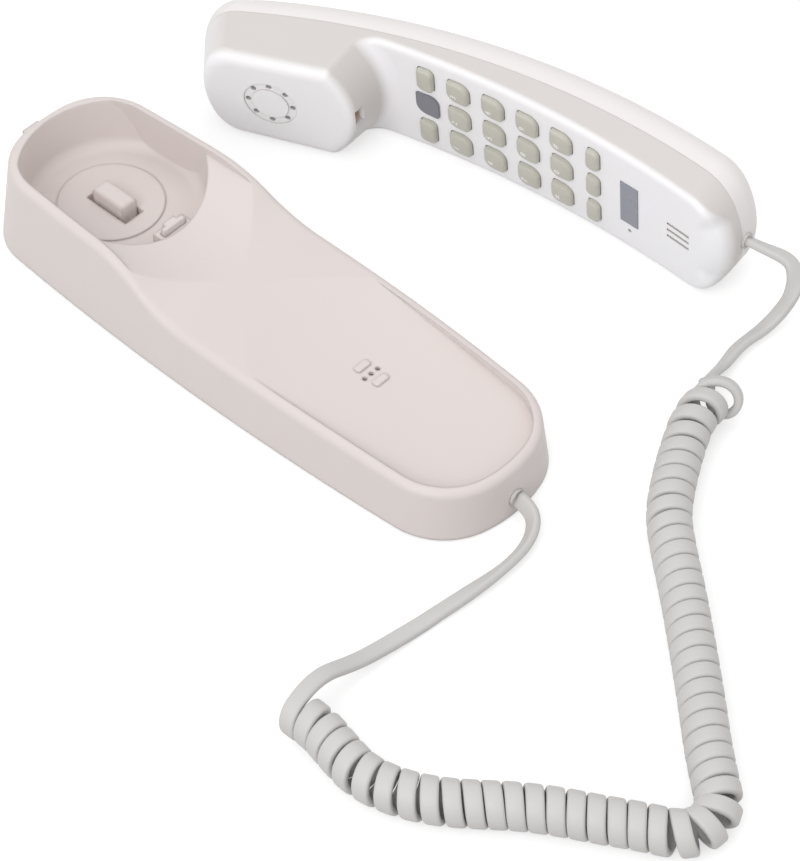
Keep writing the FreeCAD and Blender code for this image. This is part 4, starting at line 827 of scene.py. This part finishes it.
def build_skin():
    """The covers and the pocket, as pieces of the handset."""
    surface = shell_surface("handset_front_shell")
    add_piece("mouth_cover", cover_form(surface, mouth_rays()), COVER, "handset")
    for side, name in ((-1, "low"), (1, "high")):
        add_piece("root_cover_" + name, cover_form(surface, spot_rays(side)), COVER, "handset")
    bridge = cover_form(surface, catch_rays(), CATCH_COVER_THICK)
    add_piece("catch_cover", bridge, COVER, "handset")
    # The pocket carries the painted shade of the hole's inside
    add_piece("catch_pocket", pocket_form(), POCKET_PAINTED_SHADE, "handset", smooth=False)


build_skin()


# Hook spring: a copy of the solid that rides on the base


def build_spring():
    """The spring as a piece of its own, copied from the solid and riding on the base."""
    solid = nodes["hook_spring"]
    spring = bpy.data.objects.new("spring_wire", solid.data.copy())
    spring.matrix_world = solid.matrix_world
    scene.collection.objects.link(spring)
    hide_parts("hook_spring")
    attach(spring, "base")
    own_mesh(spring)


build_spring()


# Stage, light and camera

FLOOR_REACH = 3.0
FLOOR_TONE = 0.55
FLOOR_GLOW = 0.55
FLOOR_ROUGH = 0.9
WORLD_LIGHT = 0.8
WHITE = (1, 1, 1, 1)
CAMERA_AZIMUTH = math.radians(-47.16)
CAMERA_ELEVATION = math.radians(48.34)
CAMERA_AIM = Vector((0.00025, -0.05216, 0))
CAMERA_AWAY = 1.0356
CAMERA_LENS = 162.0
CAMERA_SENSOR = 36.0
CAMERA_NEAR = 0.05
CAMERA_FAR = 20.0


def seen_rays(tree):
    """A value that is 1 for what is seen, directly, mirrored or through a clear piece, and else 0."""
    path = tree.nodes.new("ShaderNodeLightPath")
    seen = path.outputs["Is Camera Ray"]
    for kind in ("Is Glossy Ray", "Is Transmission Ray"):
        either = tree.nodes.new("ShaderNodeMath")
        either.operation = "MAXIMUM"
        tree.links.new(seen, either.inputs[0])
        tree.links.new(path.outputs[kind], either.inputs[1])
        seen = either.outputs[0]
    return seen


def build_stage():
    """A pale floor that looks white and takes soft shadows."""
    floor_mesh = bpy.data.meshes.new("floor")
    corners = [(sx * FLOOR_REACH, sy * FLOOR_REACH, 0) for sx, sy in ((-1, -1), (1, -1), (1, 1), (-1, 1))]
    floor_mesh.from_pydata(corners, [], [(0, 1, 2, 3)])
    floor = bpy.data.objects.new("floor", floor_mesh)
    scene.collection.objects.link(floor)
    r = Recipe("floor_white")
    r.shader.inputs["Base Color"].default_value = (FLOOR_TONE, FLOOR_TONE, FLOOR_TONE, 1)
    r.shader.inputs["Roughness"].default_value = FLOOR_ROUGH
    r.shader.inputs["Specular IOR Level"].default_value = 0.0
    glow = r.add("ShaderNodeMath", operation="MULTIPLY")
    glow.inputs[1].default_value = FLOOR_GLOW
    r.join(seen_rays(r.tree), glow.inputs[0])
    r.shader.inputs["Emission Color"].default_value = WHITE
    r.join(glow.outputs[0], r.shader.inputs["Emission Strength"])
    floor.data.materials.append(r.material)


def build_world():
    """White all round, a little dimmer as a light than as it is seen."""
    world = bpy.data.worlds.new("studio")
    scene.world = world
    world.use_nodes = True
    tree = world.node_tree
    ground = tree.nodes["Background"]
    ground.inputs["Color"].default_value = WHITE
    level = tree.nodes.new("ShaderNodeMapRange")
    level.inputs["To Min"].default_value = WORLD_LIGHT
    level.inputs["To Max"].default_value = 1.0
    tree.links.new(seen_rays(tree), level.inputs["Value"])
    tree.links.new(level.outputs["Result"], ground.inputs["Strength"])


def add_lamp(name, place, aim, size, power):
    """A round soft lamp at a place, turned to its aim."""
    data = bpy.data.lights.new(name, "AREA")
    data.shape = "DISK"
    data.size = size
    data.energy = power
    lamp = bpy.data.objects.new(name, data)
    lamp.location = place
    lamp.rotation_euler = (Vector(aim) - Vector(place)).to_track_quat("-Z", "Y").to_euler()
    scene.collection.objects.link(lamp)


def add_camera():
    """The photograph's viewpoint."""
    data = bpy.data.cameras.new("camera")
    data.sensor_fit = "HORIZONTAL"
    data.sensor_width = CAMERA_SENSOR
    data.lens = CAMERA_LENS
    data.clip_start = CAMERA_NEAR
    data.clip_end = CAMERA_FAR
    camera = bpy.data.objects.new("camera", data)
    back = Vector((math.sin(CAMERA_AZIMUTH) * math.cos(CAMERA_ELEVATION),
                   -math.cos(CAMERA_AZIMUTH) * math.cos(CAMERA_ELEVATION), math.sin(CAMERA_ELEVATION)))
    camera.location = CAMERA_AIM + back * CAMERA_AWAY
    camera.rotation_euler = (-back).to_track_quat("-Z", "Y").to_euler()
    scene.collection.objects.link(camera)
    scene.camera = camera


build_stage()
build_world()
add_lamp("key_light", place=(-1.15, -0.3, 1.1), aim=(0.05, 0, 0), size=1.3, power=10)
add_lamp("top_light", place=(0.3, 0.2, 2.0), aim=(0, 0, 0), size=1.6, power=5)
add_camera()
scene.view_settings.view_transform = "Standard"
